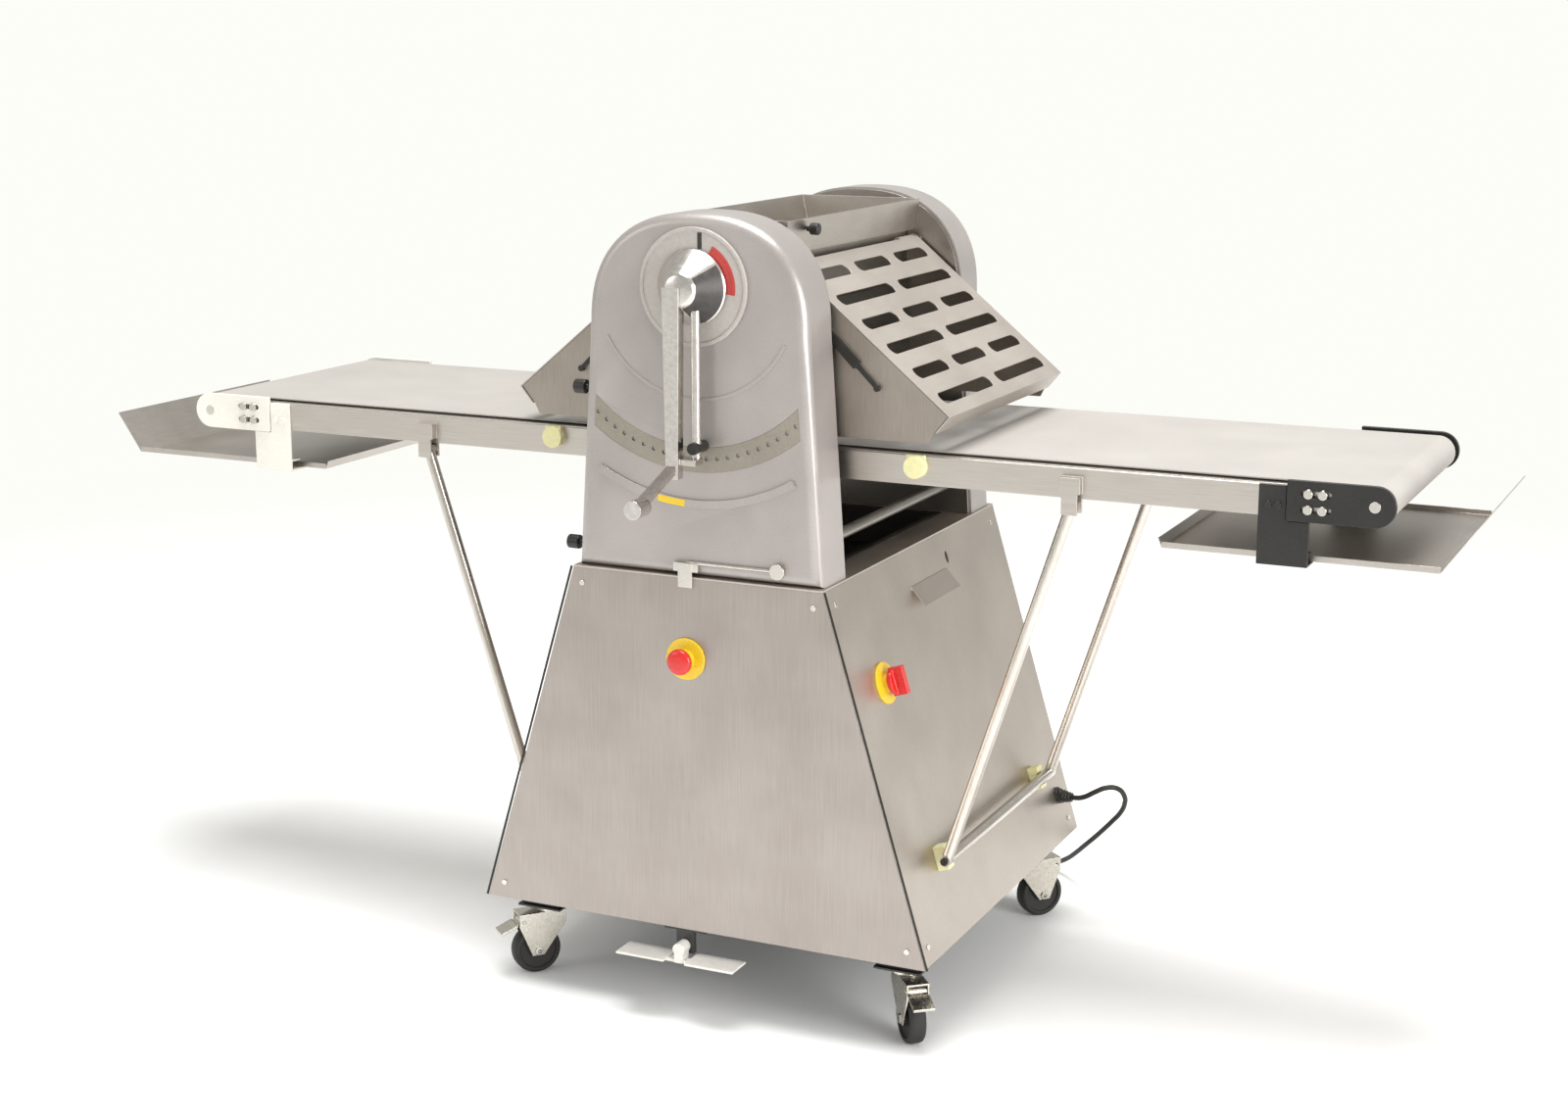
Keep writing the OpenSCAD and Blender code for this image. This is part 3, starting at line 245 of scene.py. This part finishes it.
def round_edges(bm, radius, steps=2, sharper_than=35, verts=None):
    """Rounds the edges that turn more than an angle; radius in mm."""
    some = None if verts is None else set(verts)
    edges = [e for e in bm.edges if len(e.link_faces) == 2
             and e.calc_face_angle(0) > radians(sharper_than)
             and (some is None or set(e.verts) <= some)]
    bmesh.ops.bevel(bm, geom=edges, offset=radius * MM, offset_type="OFFSET", affect="EDGES",
                    segments=steps, profile=0.5, material=-1, clamp_overlap=False)


def finish_piece(bm, name, materials, node, replaces=True, smooth_under=40):
    """Turns a bmesh into a piece that rides with a CAD node's body and stands for it."""
    mesh = bpy.data.meshes.new(name)
    bm.to_mesh(mesh)
    bm.free()
    for material in materials if isinstance(materials, (list, tuple)) else [materials]:
        mesh.materials.append(material)
    mesh.shade_smooth()
    mesh.set_sharp_from_angle(angle=radians(smooth_under))
    piece = bpy.data.objects.new(name, mesh)
    bpy.context.scene.collection.objects.link(piece)
    even = piece.modifiers.new("even_normals", "WEIGHTED_NORMAL")
    even.keep_sharp = True
    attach(piece, frame["nodes"][node]["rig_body"])
    if replaces:
        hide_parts(node)
    return piece


# Nickel-plated brass and steel pins, bright and a little uneven.
plated_steel = make_material("plated_steel", ("#C9C4BC", "#DAD6CF"), (2, 2, 2), (0.16, 0.28), 1.0)

shape = bmesh.new()
panel_lean = 16.79
lean = radians(90 - panel_lean)
nut = facing(Vector((0.3581, 0.308, 0.217)), (sin(lean), 0, cos(lean)))
bmesh.ops.create_cone(shape, cap_ends=True, segments=6, radius1=15 * MM, radius2=15 * MM,
                      depth=6 * MM, matrix=nut @ Matrix.Translation((0, 0, 3 * MM)))
round_edges(shape, 0.8)
sleeve = [(0, 0), (12, 0), (12.4, 1.5)]
for rib in range(4):
    sleeve += [(12 - rib, 4 + 5 * rib), (10.4 - rib, 5 + 5 * rib), (10.4 - rib, 7 + 5 * rib),
               (11.6 - rib, 8 + 5 * rib)]
sleeve += [(7, 23.4), (6.4, 23.8), (0, 23.8)]
turn_on_lathe(shape, sleeve, facing(Vector((0.3622, 0.308, 0.217)), (1, 0, 0)), 32)
gland = finish_piece(shape, "lead_gland", black_rubber, "cord_gland")

shape = bmesh.new()
plug_at = facing((0.190, 0.446, 0.018), (1, 0, 0))
turn_on_lathe(shape, [(0, 0), (6.6, 0), (8, 1), (8.4, 3), (7.6, 4), (9.4, 5), (9.8, 8), (8.8, 9),
                      (10.8, 10), (12, 14), (15.5, 15.2), (17.4, 18), (17.6, 37.5), (16.6, 39.6),
                      (15, 40), (0, 40)], plug_at, 40)
pins = []
for side in (-9.5, 9.5):
    pins += turn_on_lathe(shape, [(0, 38), (2.4, 38), (2.4, 57.5), (1.6, 58.8), (0, 59)],
                          plug_at @ Matrix.Translation((0, side * MM, 0)), 20)
for face in {f for v in pins for f in v.link_faces}:
    face.material_index = 1
plug = finish_piece(shape, "mains_plug", (black_rubber, plated_steel), "cord_plug")


# ---------------------------------------------------------------- cabinet frame
# Welded square tube inside the cabinet, with the floor plate, the castor
# blocks and the pedal's hanger, all brushed with satin black paint.
def dress_node(node, name, materials, radius=0.6, steps=2, paint=None, sharper_than=35):
    """A clean copy of a CAD node: its flats joined and its edges rounded off.

    paint(centre, normal) gives a face's place in materials.
    """
    bm = bmesh.new()
    bm.from_mesh(frame["nodes"][node].data)
    bmesh.ops.remove_doubles(bm, verts=bm.verts, dist=0.01 * MM)
    bmesh.ops.dissolve_limit(bm, angle_limit=radians(0.5), verts=bm.verts, edges=bm.edges)
    for face in bm.faces:
        face.material_index = paint(face.calc_center_median(), face.normal) if paint else 0
    if radius:
        round_edges(bm, radius, steps, sharper_than)
    return finish_piece(bm, name, materials, node)


# Satin enamel over steel: brush drag leaves it slightly uneven.
black_enamel = make_material("brushed_black_enamel", ("#1B1A18", "#2A2826"), (2, 2, 14),
                             (0.35, 0.5), bump_mm=0.04, sockets={"Coat Weight": 0.2})
dress_node("base_frame", "tube_frame", black_enamel, 1.5)
dress_node("underframe_brackets", "castor_blocks", black_enamel, 1.0)


# ---------------------------------------------------------------- cabinet panels
# Four tapered panels of 2 mm stainless sheet, folded and fixed with domed
# screws at their corners. Black strips where front and sides meet are painted
# shade for the gap between them.
# Brushed stainless: fine upright scratches under 2 mm apart, in a warm grey
# that reflects the room softly.
brushed_stainless = make_material("brushed_stainless_panel", ("#9C948E", "#ADA59F"), (1.6, 1.6, 90),
                                  (0.34, 0.46), 1.0, bump_mm=0.012)
# The side panels and the deck take a lighter copy of the same stainless: painted light for their
# brighter lighting.
lit_side_stainless = make_material("painted_light_side_panel", ("#BBB2A9", "#CAC1B8"), (1.6, 1.6, 90),
                                (0.34, 0.46), 1.0, bump_mm=0.012)
for node, name, sheet in (("cabinet_front_panel", "front_cover", brushed_stainless),
                          ("cabinet_rear_panel", "rear_cover", brushed_stainless),
                          ("cabinet_side_panels", "side_covers", lit_side_stainless),
                          ("top_deck", "deck_plate", lit_side_stainless)):
    dress_node(node, name, sheet, 0.5)
dress_node("panel_screws", "cover_screws", plated_steel, 0.7, 3)

panel_low, panel_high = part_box("cabinet_front_panel")
deck_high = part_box("top_deck")[1]
# Black strips on the front panel's side edges: painted shade for the gap between front and side
# covers.
shade_strip_w, shade_strip_out = 3.5, 0.7
shape = bmesh.new()
for side in (-1, 1):
    foot = Vector((side * panel_high.x, panel_low.y, panel_low.z))
    head = Vector((side * deck_high.x, panel_low.y, panel_high.z))
    along = head - foot
    bar = add_block(shape, (-shade_strip_out, 1.6, 0), (shade_strip_out, 1.6 + shade_strip_w, along.length / MM))
    bmesh.ops.transform(shape, matrix=facing(foot, along) @ Matrix.Rotation(0, 4, "Z"), verts=bar)
finish_piece(shape, "painted_shadow_gap_strips", black_rubber, "cabinet_front_panel", replaces=False)
# Keyhole beside the pull flap on the right side cover.
shape = bmesh.new()
hole = [(8 * cos(a) * 0.5, 10 * sin(a)) for a in (2 * pi * i / 24 for i in range(24))]
tilt = radians(panel_lean)
side_face = Matrix(((0, -sin(tilt), cos(tilt), 0.22198), (1, 0, 0, 0.111),
                    (0, cos(tilt), sin(tilt), 0.668), (0, 0, 0, 1)))
add_plate(shape, hole, 0.5, side_face)
finish_piece(shape, "keyhole", black_rubber, "cabinet_side_panels", replaces=False)


# ---------------------------------------------------------------- crumb tray
# A folded tray that lies in the deck's opening and catches flour from the
# rollers; its sheet is painted dark for the shade in the opening.
shade_dark_sheet = make_material("painted_shade_tray_sheet", ("#34322E", "#46433E"), (3, 3, 3), (0.45, 0.6), 0.8,
                           bump_mm=0.05)
dress_node("crumb_tray", "crumb_catcher", shade_dark_sheet, 0.5)


# ---------------------------------------------------------------- castors
# Zinc-plated swivel castors with black rubber wheels on plain bearings. The
# two in front have a tread that presses a brake on the wheel.
# Bright zinc: a mottled passivated plating, slightly yellow.
zinc_plate = make_material("bright_zinc_plate", ("#BFB9AE", "#D8D4CA"), (5, 5, 5), (0.18, 0.34), 1.0,
                           bump_mm=0.03)
# Solid rubber tyre, dusty from the floor, on a black moulded hub.
tyre_rubber = make_material("solid_rubber_tyre", ("#1A1917", "#2B2926"), (3, 3, 3), (0.55, 0.75),
                            bump_mm=0.1)
wheel_r, wheel_half, trail = 40, 13, 28
castors = {"front_right": (315, -275, -50), "front_left": (-315, -275, -130),
           "rear_right": (315, 275, 50), "rear_left": (-315, 275, 130)}
for corner, (x, y, heading) in castors.items():
    a = radians(heading)
    axle = Vector((x + trail * cos(a), y + trail * sin(a), wheel_r)) * MM
    across = Vector((-sin(a), cos(a), 0))
    dress_node(corner + "_castor_fork", corner + "_castor_yoke", zinc_plate, 0.8)
    shape = bmesh.new()
    half_profile = [(5.1, 0), (5.1, 14.5), (11.4, 14.5), (12, 13.6), (12.2, 9), (29, 9), (30.5, 9.8),
                    (31.5, 12.4), (33, 13), (36.5, 12.6), (39, 10.5), (40, 6.5), (40, 0)]
    ring = [(r, h) for r, h in half_profile] + [(r, -h) for r, h in half_profile[::-1][1:]]
    turn_on_lathe(shape, ring, facing(axle, across), 56)
    finish_piece(shape, corner + "_tyre", tyre_rubber, corner + "_castor_wheel")
    shape = bmesh.new()
    for side in (-1, 1):
        turn_on_lathe(shape, [(0, 18), (8, 18), (8, 19), (7.2, 20.6), (5.2, 21), (0, 21)],
                      facing(axle, across * side), 6)
    finish_piece(shape, corner + "_axle_nuts", plated_steel, corner + "_castor_fork",
                 replaces=False)
for corner in ("front_right", "front_left"):
    dress_node(corner + "_castor_brake", corner + "_brake_tread", zinc_plate, 0.9)


# ---------------------------------------------------------------- foot pedal
# A rocking bar with a flat tread at each end, plated; its light, nearly matt
# colour is a painted reflection of the plated steel's brightness. One tread
# starts the belts to the right and the other to the left.
reflection_bright_tread = make_material("painted_reflection_tread", ("#D9D5CE", "#E9E6E0"), (6, 6, 6), (0.35, 0.5), 0.2,
                           bump_mm=0.05)
dress_node("foot_pedal", "rocking_pedal", reflection_bright_tread, 1.2, 3)


# ---------------------------------------------------------------- motor and drive
# Foot-mounted motor and gearbox on the floor plate; one V-belt climbs to the
# large pulley on the lower roller's shaft.
motor_enamel = make_material("motor_enamel", ("#3E464B", "#4C555A"), (4, 4, 4), (0.35, 0.5),
                             bump_mm=0.08)
machined_iron = make_material("machined_iron", ("#6B6865", "#7E7B77"), (1.5, 12, 1.5), (0.3, 0.45),
                              0.9, bump_mm=0.03)
dress_node("drive_unit", "motor_and_belt", (motor_enamel, black_rubber), 1.0,
           paint=lambda centre, normal: 1 if centre.y > 0.28 else 0)
dress_node("motor_pulley", "small_pulley", machined_iron, 0.5)


# ---------------------------------------------------------------- side housings
# Two deep covers of cast and fettled aluminium, sprayed silver grey, that
# close the roller bearings. Their front edge is a generous round; the near
# one carries the dial, the lever's scale and a curved rib.
# Silver-grey hammer-free spray: metal flake under a satin coat.
housing_paint = make_material("silver_grey_spray", ("#A09996", "#AEA7A3"), (2.5, 2.5, 2.5),
                              (0.3, 0.42), 0.45, bump_mm=0.02,
                              sockets={"Coat Weight": 0.35, "Coat Roughness": 0.22})
face_y = -0.355
edge_r, wall = 17, 5
head_half, shoulder_half, shoulder_rise, crown = 206, 181, 369, 174
deck = 711


def off_outline(point, inset):
    """How far a point is from the housing's outline set in by some mm."""
    x, rise = abs(point.x) / MM, point.z / MM - deck
    if rise < shoulder_rise:
        return abs(x - head_half + inset + rise * (head_half - shoulder_half) / shoulder_rise)
    reach = (x / (shoulder_half - inset)) ** 2.4 + ((rise - shoulder_rise) / (crown - inset)) ** 2.4
    return abs(reach ** (1 / 2.4) - 1) * crown


def dress_housing(node, name):
    bm = bmesh.new()
    bm.from_mesh(frame["nodes"][node].data)
    bmesh.ops.remove_doubles(bm, verts=bm.verts, dist=0.01 * MM)
    bmesh.ops.dissolve_limit(bm, angle_limit=radians(0.5), verts=bm.verts, edges=bm.edges)
    facing_y = face_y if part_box(node)[0].y < 0 else -face_y
    for inset in (0, wall):
        rim = [e for e in bm.edges if len(e.link_faces) == 2
               and e.calc_face_angle(0) > radians(60)
               and all(abs(abs(v.co.y - facing_y) - inset * MM) < 1e-4
                       and off_outline(v.co, inset) < 1.5 for v in e.verts)]
        bmesh.ops.bevel(bm, geom=rim, offset=(edge_r - inset) * MM, offset_type="OFFSET",
                        affect="EDGES", segments=8, profile=0.5, material=-1, clamp_overlap=False)
    return finish_piece(bm, name, housing_paint, node)


dress_housing("front_side_housing", "near_housing")
dress_housing("rear_side_housing", "far_housing")


def arc_band(r0, r1, start, end, steps=40):
    """Outline of a band between two radii and two angles, as (x, y) in mm."""
    turn = [radians(start + (end - start) * i / steps) for i in range(steps + 1)]
    return ([(r1 * cos(a), r1 * sin(a)) for a in turn]
            + [(r0 * cos(a), r0 * sin(a)) for a in reversed(turn)])


def on_near_face(x, z, y=face_y):
    """Stands a plate on the near housing: its X along X, its Y up, its +Z out."""
    return Matrix(((1, 0, 0, x * MM), (0, 0, -1, y), (0, 1, 0, z * MM), (0, 0, 0, 1)))


# Pressed bead that frames the dial's field, and a yellow mark on the rib.
dial_z = 1147
shape = bmesh.new()
add_plate(shape, arc_band(164, 169, -152, -28), 1.6, on_near_face(0, dial_z))
round_edges(shape, 0.7)
finish_piece(shape, "dial_field_bead", housing_paint, "front_side_housing", replaces=False)
yellow_moulding = make_material("yellow_moulding", ("#D9B41A", "#E9C82C"), (4, 4, 4), (0.3, 0.42),
                                sockets={"Coat Weight": 0.3})
shape = bmesh.new()
add_plate(shape, arc_band(319, 329, -101, -93, 8), 0.6, on_near_face(0, dial_z, -0.3588))
finish_piece(shape, "setting_mark", yellow_moulding, "front_side_housing", replaces=False)


# ---------------------------------------------------------------- cheeks and cross bars
# Thick machined plates inside the housings carry the bearings; turned bars,
# the scrapers and the guards' hinge rods tie them together.
# Ground steel: fine marks left by the machine, across the machine.
ground_steel = make_material("ground_steel", ("#8F8A84", "#A5A09A"), (2, 16, 2), (0.28, 0.4), 1.0,
                             bump_mm=0.02)
dress_node("cheek_plates", "cheeks", ground_steel, 0.8)
dress_node("cross_members", "tie_bars_and_scrapers", ground_steel, 0.4)


# ---------------------------------------------------------------- flour pan
# A folded pan of satin stainless sheet between the housings, with flared
# long sides, for dusting flour.
satin_sheet = make_material("satin_stainless_sheet", ("#B3ACA5", "#C5BFB8"), (1.6, 40, 1.6),
                            (0.3, 0.42), 1.0, bump_mm=0.01)
dress_node("top_tray", "flour_pan", satin_sheet, 0.5)


# ---------------------------------------------------------------- dial
# White enamelled plate with a raised bright rim. A red arc marks the narrow
# settings and a black bar the widest one.
white_enamel = make_material("white_enamel", ("#A9A39D", "#B7B1AB"), (6, 6, 6), (0.3, 0.4),
                             sockets={"Coat Weight": 0.5, "Coat Roughness": 0.12})
red_print = make_material("red_printed_enamel", ("#A8322E", "#C24640"), (4, 4, 4), (0.35, 0.5))
black_print = make_material("black_printed_enamel", ("#23211E", "#34312D"), (4, 4, 4), (0.4, 0.5))
# The printed marks are thin plates let a tenth of a millimetre into the dial.
dress_node("dial_plate", "dial", (white_enamel, red_print), 1.2, 3,
           paint=lambda c, n: int(c.y < -0.3591 and c.x > 0.02
                                  and Vector((c.x, c.z - dial_z * MM)).length < 0.07))
dial_print_y = -0.3589
shape = bmesh.new()
add_plate(shape, [(8, 56), (15, 56), (15, 80), (8, 80)], 0.5, on_near_face(0, dial_z, dial_print_y))
finish_piece(shape, "dial_mark", black_print, "dial_plate", replaces=False)
shape = bmesh.new()
add_plate(shape, arc_band(55, 69, -8, 62), 1.1, on_near_face(0, dial_z, dial_print_y))
finish_piece(shape, "dial_red_arc", red_print, "dial_plate", replaces=False)


# ---------------------------------------------------------------- lever's scale
# Crescent of brushed steel let into the near housing, drilled with a hole
# for each setting of the lever's plunger.
scale_steel = make_material("scale_plate_steel", ("#8D877C", "#9E988C"), (3, 3, 3), (0.4, 0.55), 0.5,
                            bump_mm=0.02)
dress_node("gap_scale_plate", "scale_plate", scale_steel, 0.3)


# ---------------------------------------------------------------- gap lever
# Polished aluminium casting: a cone hub, a hanging arm and a slim rod with
# a sprung plunger, and a short crank with a round grip.
black_moulding = make_material("black_glass_nylon", ("#151412", "#24221F"), (3, 3, 3), (0.3, 0.45),
                               bump_mm=0.05)
polished_casting = make_material("polished_casting", ("#C3BEB9", "#D9D5D0"), (9, 9, 9), (0.14, 0.3),
                                 1.0, bump_mm=0.12)
plunger_x, plunger_z, plunger_r = 0.017, 0.914, 0.0095
dress_node("gap_lever", "lever", (polished_casting, black_moulding), 0.8, 2, sharper_than=50,
           paint=lambda c, n: int(-0.3996 < c.y < -0.36 and Vector(
               (c.x - plunger_x, c.z - plunger_z)).length < plunger_r))
# Bell of the hub; a band on its lower right side is painted dark grey for the dark reflection that
# side of the polished cone shows: painted reflection.
hub_dark_reflection = make_material("painted_hub_reflection", ("#3B3837", "#524E4C"), (9, 9, 9), (0.35, 0.5), 0.5,
                            bump_mm=0.12)
shape = bmesh.new()
turn_on_lathe(shape, [(0, 0.6), (54, 0.6), (56, 1.4), (56, 3), (54, 5), (44, 18), (34, 32), (27, 42),
                      (24, 46), (20, 48.4), (0, 49)], facing((0, -0.361, dial_z * MM), (0, -1, 0)), 72)
# Faces in the lower right band take the painted dark reflection.
for face in shape.faces:
    at = face.calc_center_median()
    out = Vector((at.x, at.z - dial_z * MM))
    turned = degrees(atan2(out.y, out.x))
    face.material_index = int(0.028 < out.length < 0.0545 and -78 < turned < 38)
finish_piece(shape, "lever_hub", (polished_casting, hub_dark_reflection), "gap_lever", replaces=False)


# ---------------------------------------------------------------- rollers
# The two sheeting rollers are ground and hard-chromed; the upper one rides
# in sliding blocks that the lever's racks lift.
hard_chrome = make_material("hard_chrome", ("#CFCBC6", "#DEDAD6"), (3, 30, 3), (0.08, 0.16), 1.0)
dress_node("lower_roller", "lower_sheeting_roller", hard_chrome, 0.6)
dress_node("upper_roller", "upper_sheeting_roller", hard_chrome, 0.6)
dress_node("upper_bearing_blocks", "sliding_blocks", ground_steel, 0.6)


# ---------------------------------------------------------------- tables
# Each table is a pair of folded stainless rails on a slider bed, with a
# hinge boss at the head, a strut bracket and a pale plastic guard rest.
rail_steel = make_material("folded_rail_steel", ("#B9B2AB", "#CBC5BE"), (60, 1.6, 1.6), (0.3, 0.42),
                           1.0, bump_mm=0.012)
ivory_plastic = make_material("ivory_moulding", ("#D6D09A", "#E2DDB0"), (5, 5, 5), (0.4, 0.5),
                              sockets={"Subsurface Weight": 0.1})
for side in ("right", "left"):
    dress_node(side + "_table_frame", side + "_rails", (rail_steel, ivory_plastic), 0.7,
               paint=lambda c, n: int(abs(c.y) > 0.2401 and 0.28 < abs(c.x) < 0.33))
    dress_node(side + "_drive_roller", side + "_driving_drum", hard_chrome, 0.6)
    dress_node(side + "_end_roller", side + "_end_drum", hard_chrome, 0.6)


# ---------------------------------------------------------------- belts
# Endless woven belts with a white food-grade face, matt and a little floury.
belt_cloth = make_material("white_belt_cloth", ("#9F9A94", "#A9A49E"), (2.4, 2.4, 2.4), (0.62, 0.75),
                           bump_mm=0.12, sockets={"Sheen Weight": 0.15})
for side in ("right", "left"):
    dress_node(side + "_belt", side + "_table_belt", belt_cloth, 0.8)


# ---------------------------------------------------------------- end brackets
# Moulded arms that tension the end drums through slots, black on the right
# table and white on the left, each with the hanger of a catch tray.
white_moulding = make_material("white_acetal", ("#E0DCD2", "#EDEAE2"), (3, 3, 3), (0.35, 0.5),
                               bump_mm=0.03)
for side, moulding in (("right", black_moulding), ("left", white_moulding)):
    dress_node(side + "_end_brackets", side + "_tension_arms", (moulding, plated_steel), 0.9,
               paint=lambda c, n: int(abs(c.y) > 0.2482))


# ---------------------------------------------------------------- catch trays
# Sliding trays of satin sheet under the belts' ends, with a low lip inside
# and a tall slanted one outside.
for side in ("right", "left"):
    dress_node(side + "_catch_tray", side + "_flour_catcher", satin_sheet, 0.4)


# ---------------------------------------------------------------- struts
# U-shaped struts of polished tube that hold the tables up; their crossbars
# rest in pale saddles screwed to the cabinet's sides.
polished_tube = make_material("polished_steel_tube", ("#BDB6AE", "#D2CCC5"), (2, 2, 30), (0.16, 0.28),
                              1.0)
for side in ("right", "left"):
    dress_node(side + "_strut", side + "_folding_strut", (polished_tube, black_rubber), 0.8,
               paint=lambda c, n: int(abs(c.y) > 0.2485))
dress_node("strut_saddles", "crossbar_saddles", ivory_plastic, 1.0)


# ---------------------------------------------------------------- guards
# Slotted sheets that slope down over the rollers on both sides, between two
# sheet skirts that turn on the hinge rods. The skirts take a darker sheet:
# painted shade for the housings' shade.
matt_sheet = make_material("matt_guard_sheet", ("#A9A199", "#B6AEA6"), (1.6, 40, 1.6), (0.4, 0.55),
                           0.55, bump_mm=0.01)
# Painted shade: the skirts' sheet is darker than the guards' for the housings' shade.
shaded_sheet = make_material("painted_shade_skirt_sheet", ("#948B82", "#A59C93"), (1.6, 1.6, 40), (0.35, 0.5), 0.9,
                             bump_mm=0.01)
for side in ("right", "left"):
    dress_node(side + "_guard_grille", side + "_slotted_guard", matt_sheet, 0.5)
    dress_node(side + "_guard_arms", side + "_guard_skirts", (shaded_sheet, black_moulding), 0.5,
               paint=lambda c, n: int(c.y < -0.2512))


# ---------------------------------------------------------------- controls
# Emergency stop on the front and the mains switch on the right: red
# mouldings on round yellow plates.
red_moulding = make_material("red_moulding", ("#C01A16", "#D2231E"), (4, 4, 4), (0.22, 0.36),
                             sockets={"Coat Weight": 0.4, "Coat Roughness": 0.1})
dress_node("control_plates", "yellow_plates", yellow_moulding, 0.8)
shape = bmesh.new()
turn_on_lathe(shape, [(0, -12), (7, -12), (7, 19), (18.6, 19), (19.6, 19.6), (20, 21), (20, 24.5),
                      (19.4, 26.5), (17.5, 28.5), (14, 30), (9, 30.8), (0, 31)],
              facing((-0.016, -0.36, 0.583), (0, -1, 0)), 56)
finish_piece(shape, "stop_mushroom", red_moulding, "estop_button")
dress_node("switch_knob", "mains_knob", red_moulding, 1.5, 3)


# ---------------------------------------------------------------- latch and knobs
# A bent latch with a round-headed screw holds the near housing down; black
# ball knobs fix the housing and the flour pan from the side.
dress_node("housing_latch", "bent_latch", plated_steel, 0.8)
dress_node("side_knobs", "round_knobs", black_moulding, 2.0, 3)


# ---------------------------------------------------------------- floor and light
# A plain pale floor and a soft, bright room.
floor_white = make_material("pale_floor", ("#FDFDFD", "#FFFFFF"), (60, 60, 60), (0.7, 0.8),
                            sockets={"Specular IOR Level": 0.1})
# Past a few metres the floor fades into the room, so that no edge shows.
tree = floor_white.node_tree
away = add_node(tree, "VectorMath", {"operation": "LENGTH"},
                {0: add_node(tree, "TexCoord").outputs["Object"]})
fade = add_node(tree, "MapRange", {"interpolation_type": "SMOOTHSTEP"},
                {"Value": away.outputs["Value"], "From Min": 1.6, "From Max": 5.0})
glow = add_node(tree, "Emission", links={"Color": linear("#FDFDF8"), "Strength": 1})
mix = add_node(tree, "MixShader", links={
    0: fade.outputs[0], 1: tree.nodes["Principled BSDF"].outputs[0], 2: glow.outputs[0]})
tree.links.new(mix.outputs[0], tree.nodes["Material Output"].inputs["Surface"])
shape = bmesh.new()
bmesh.ops.create_grid(shape, x_segments=1, y_segments=1, size=14)
floor_mesh = bpy.data.meshes.new("floor")
shape.to_mesh(floor_mesh)
shape.free()
floor_mesh.materials.append(floor_white)
floor = bpy.data.objects.new("floor", floor_mesh)
bpy.context.scene.collection.objects.link(floor)

world = bpy.data.worlds.new("soft_room")
world.use_nodes = True
tree = world.node_tree
# The camera sees a white room; the machine is lit and mirrored by a softer one.
seen = add_node(tree, "LightPath").outputs["Is Camera Ray"]
level = add_node(tree, "MapRange", links={"Value": seen, "To Min": 0.62, "To Max": 1.0})
tree.nodes["Background"].inputs["Color"].default_value = linear("#FDFDF8")
tree.links.new(level.outputs[0], tree.nodes["Background"].inputs["Strength"])
bpy.context.scene.world = world
lamps = {"overhead_softbox": ((0.2, -0.3, 5.6), (0, 0, 0.3), 3.4, 330),
         "left_softbox": ((-3.0, -3.2, 2.4), (0, 0, 0.7), 2.2, 22),
         "right_softbox": ((3.9, -1.5, 1.5), (0, 0, 0.75), 2.6, 120)}
for name, (at, target, size, power) in lamps.items():
    lamp = bpy.data.lights.new(name, "AREA")
    lamp.shape = "DISK"
    lamp.size = size
    lamp.energy = power
    light = bpy.data.objects.new(name, lamp)
    light.location = at
    light.rotation_euler = (Vector(target) - Vector(at)).to_track_quat("-Z", "Y").to_euler()
    bpy.context.scene.collection.objects.link(light)
bpy.context.scene.view_settings.view_transform = "Standard"
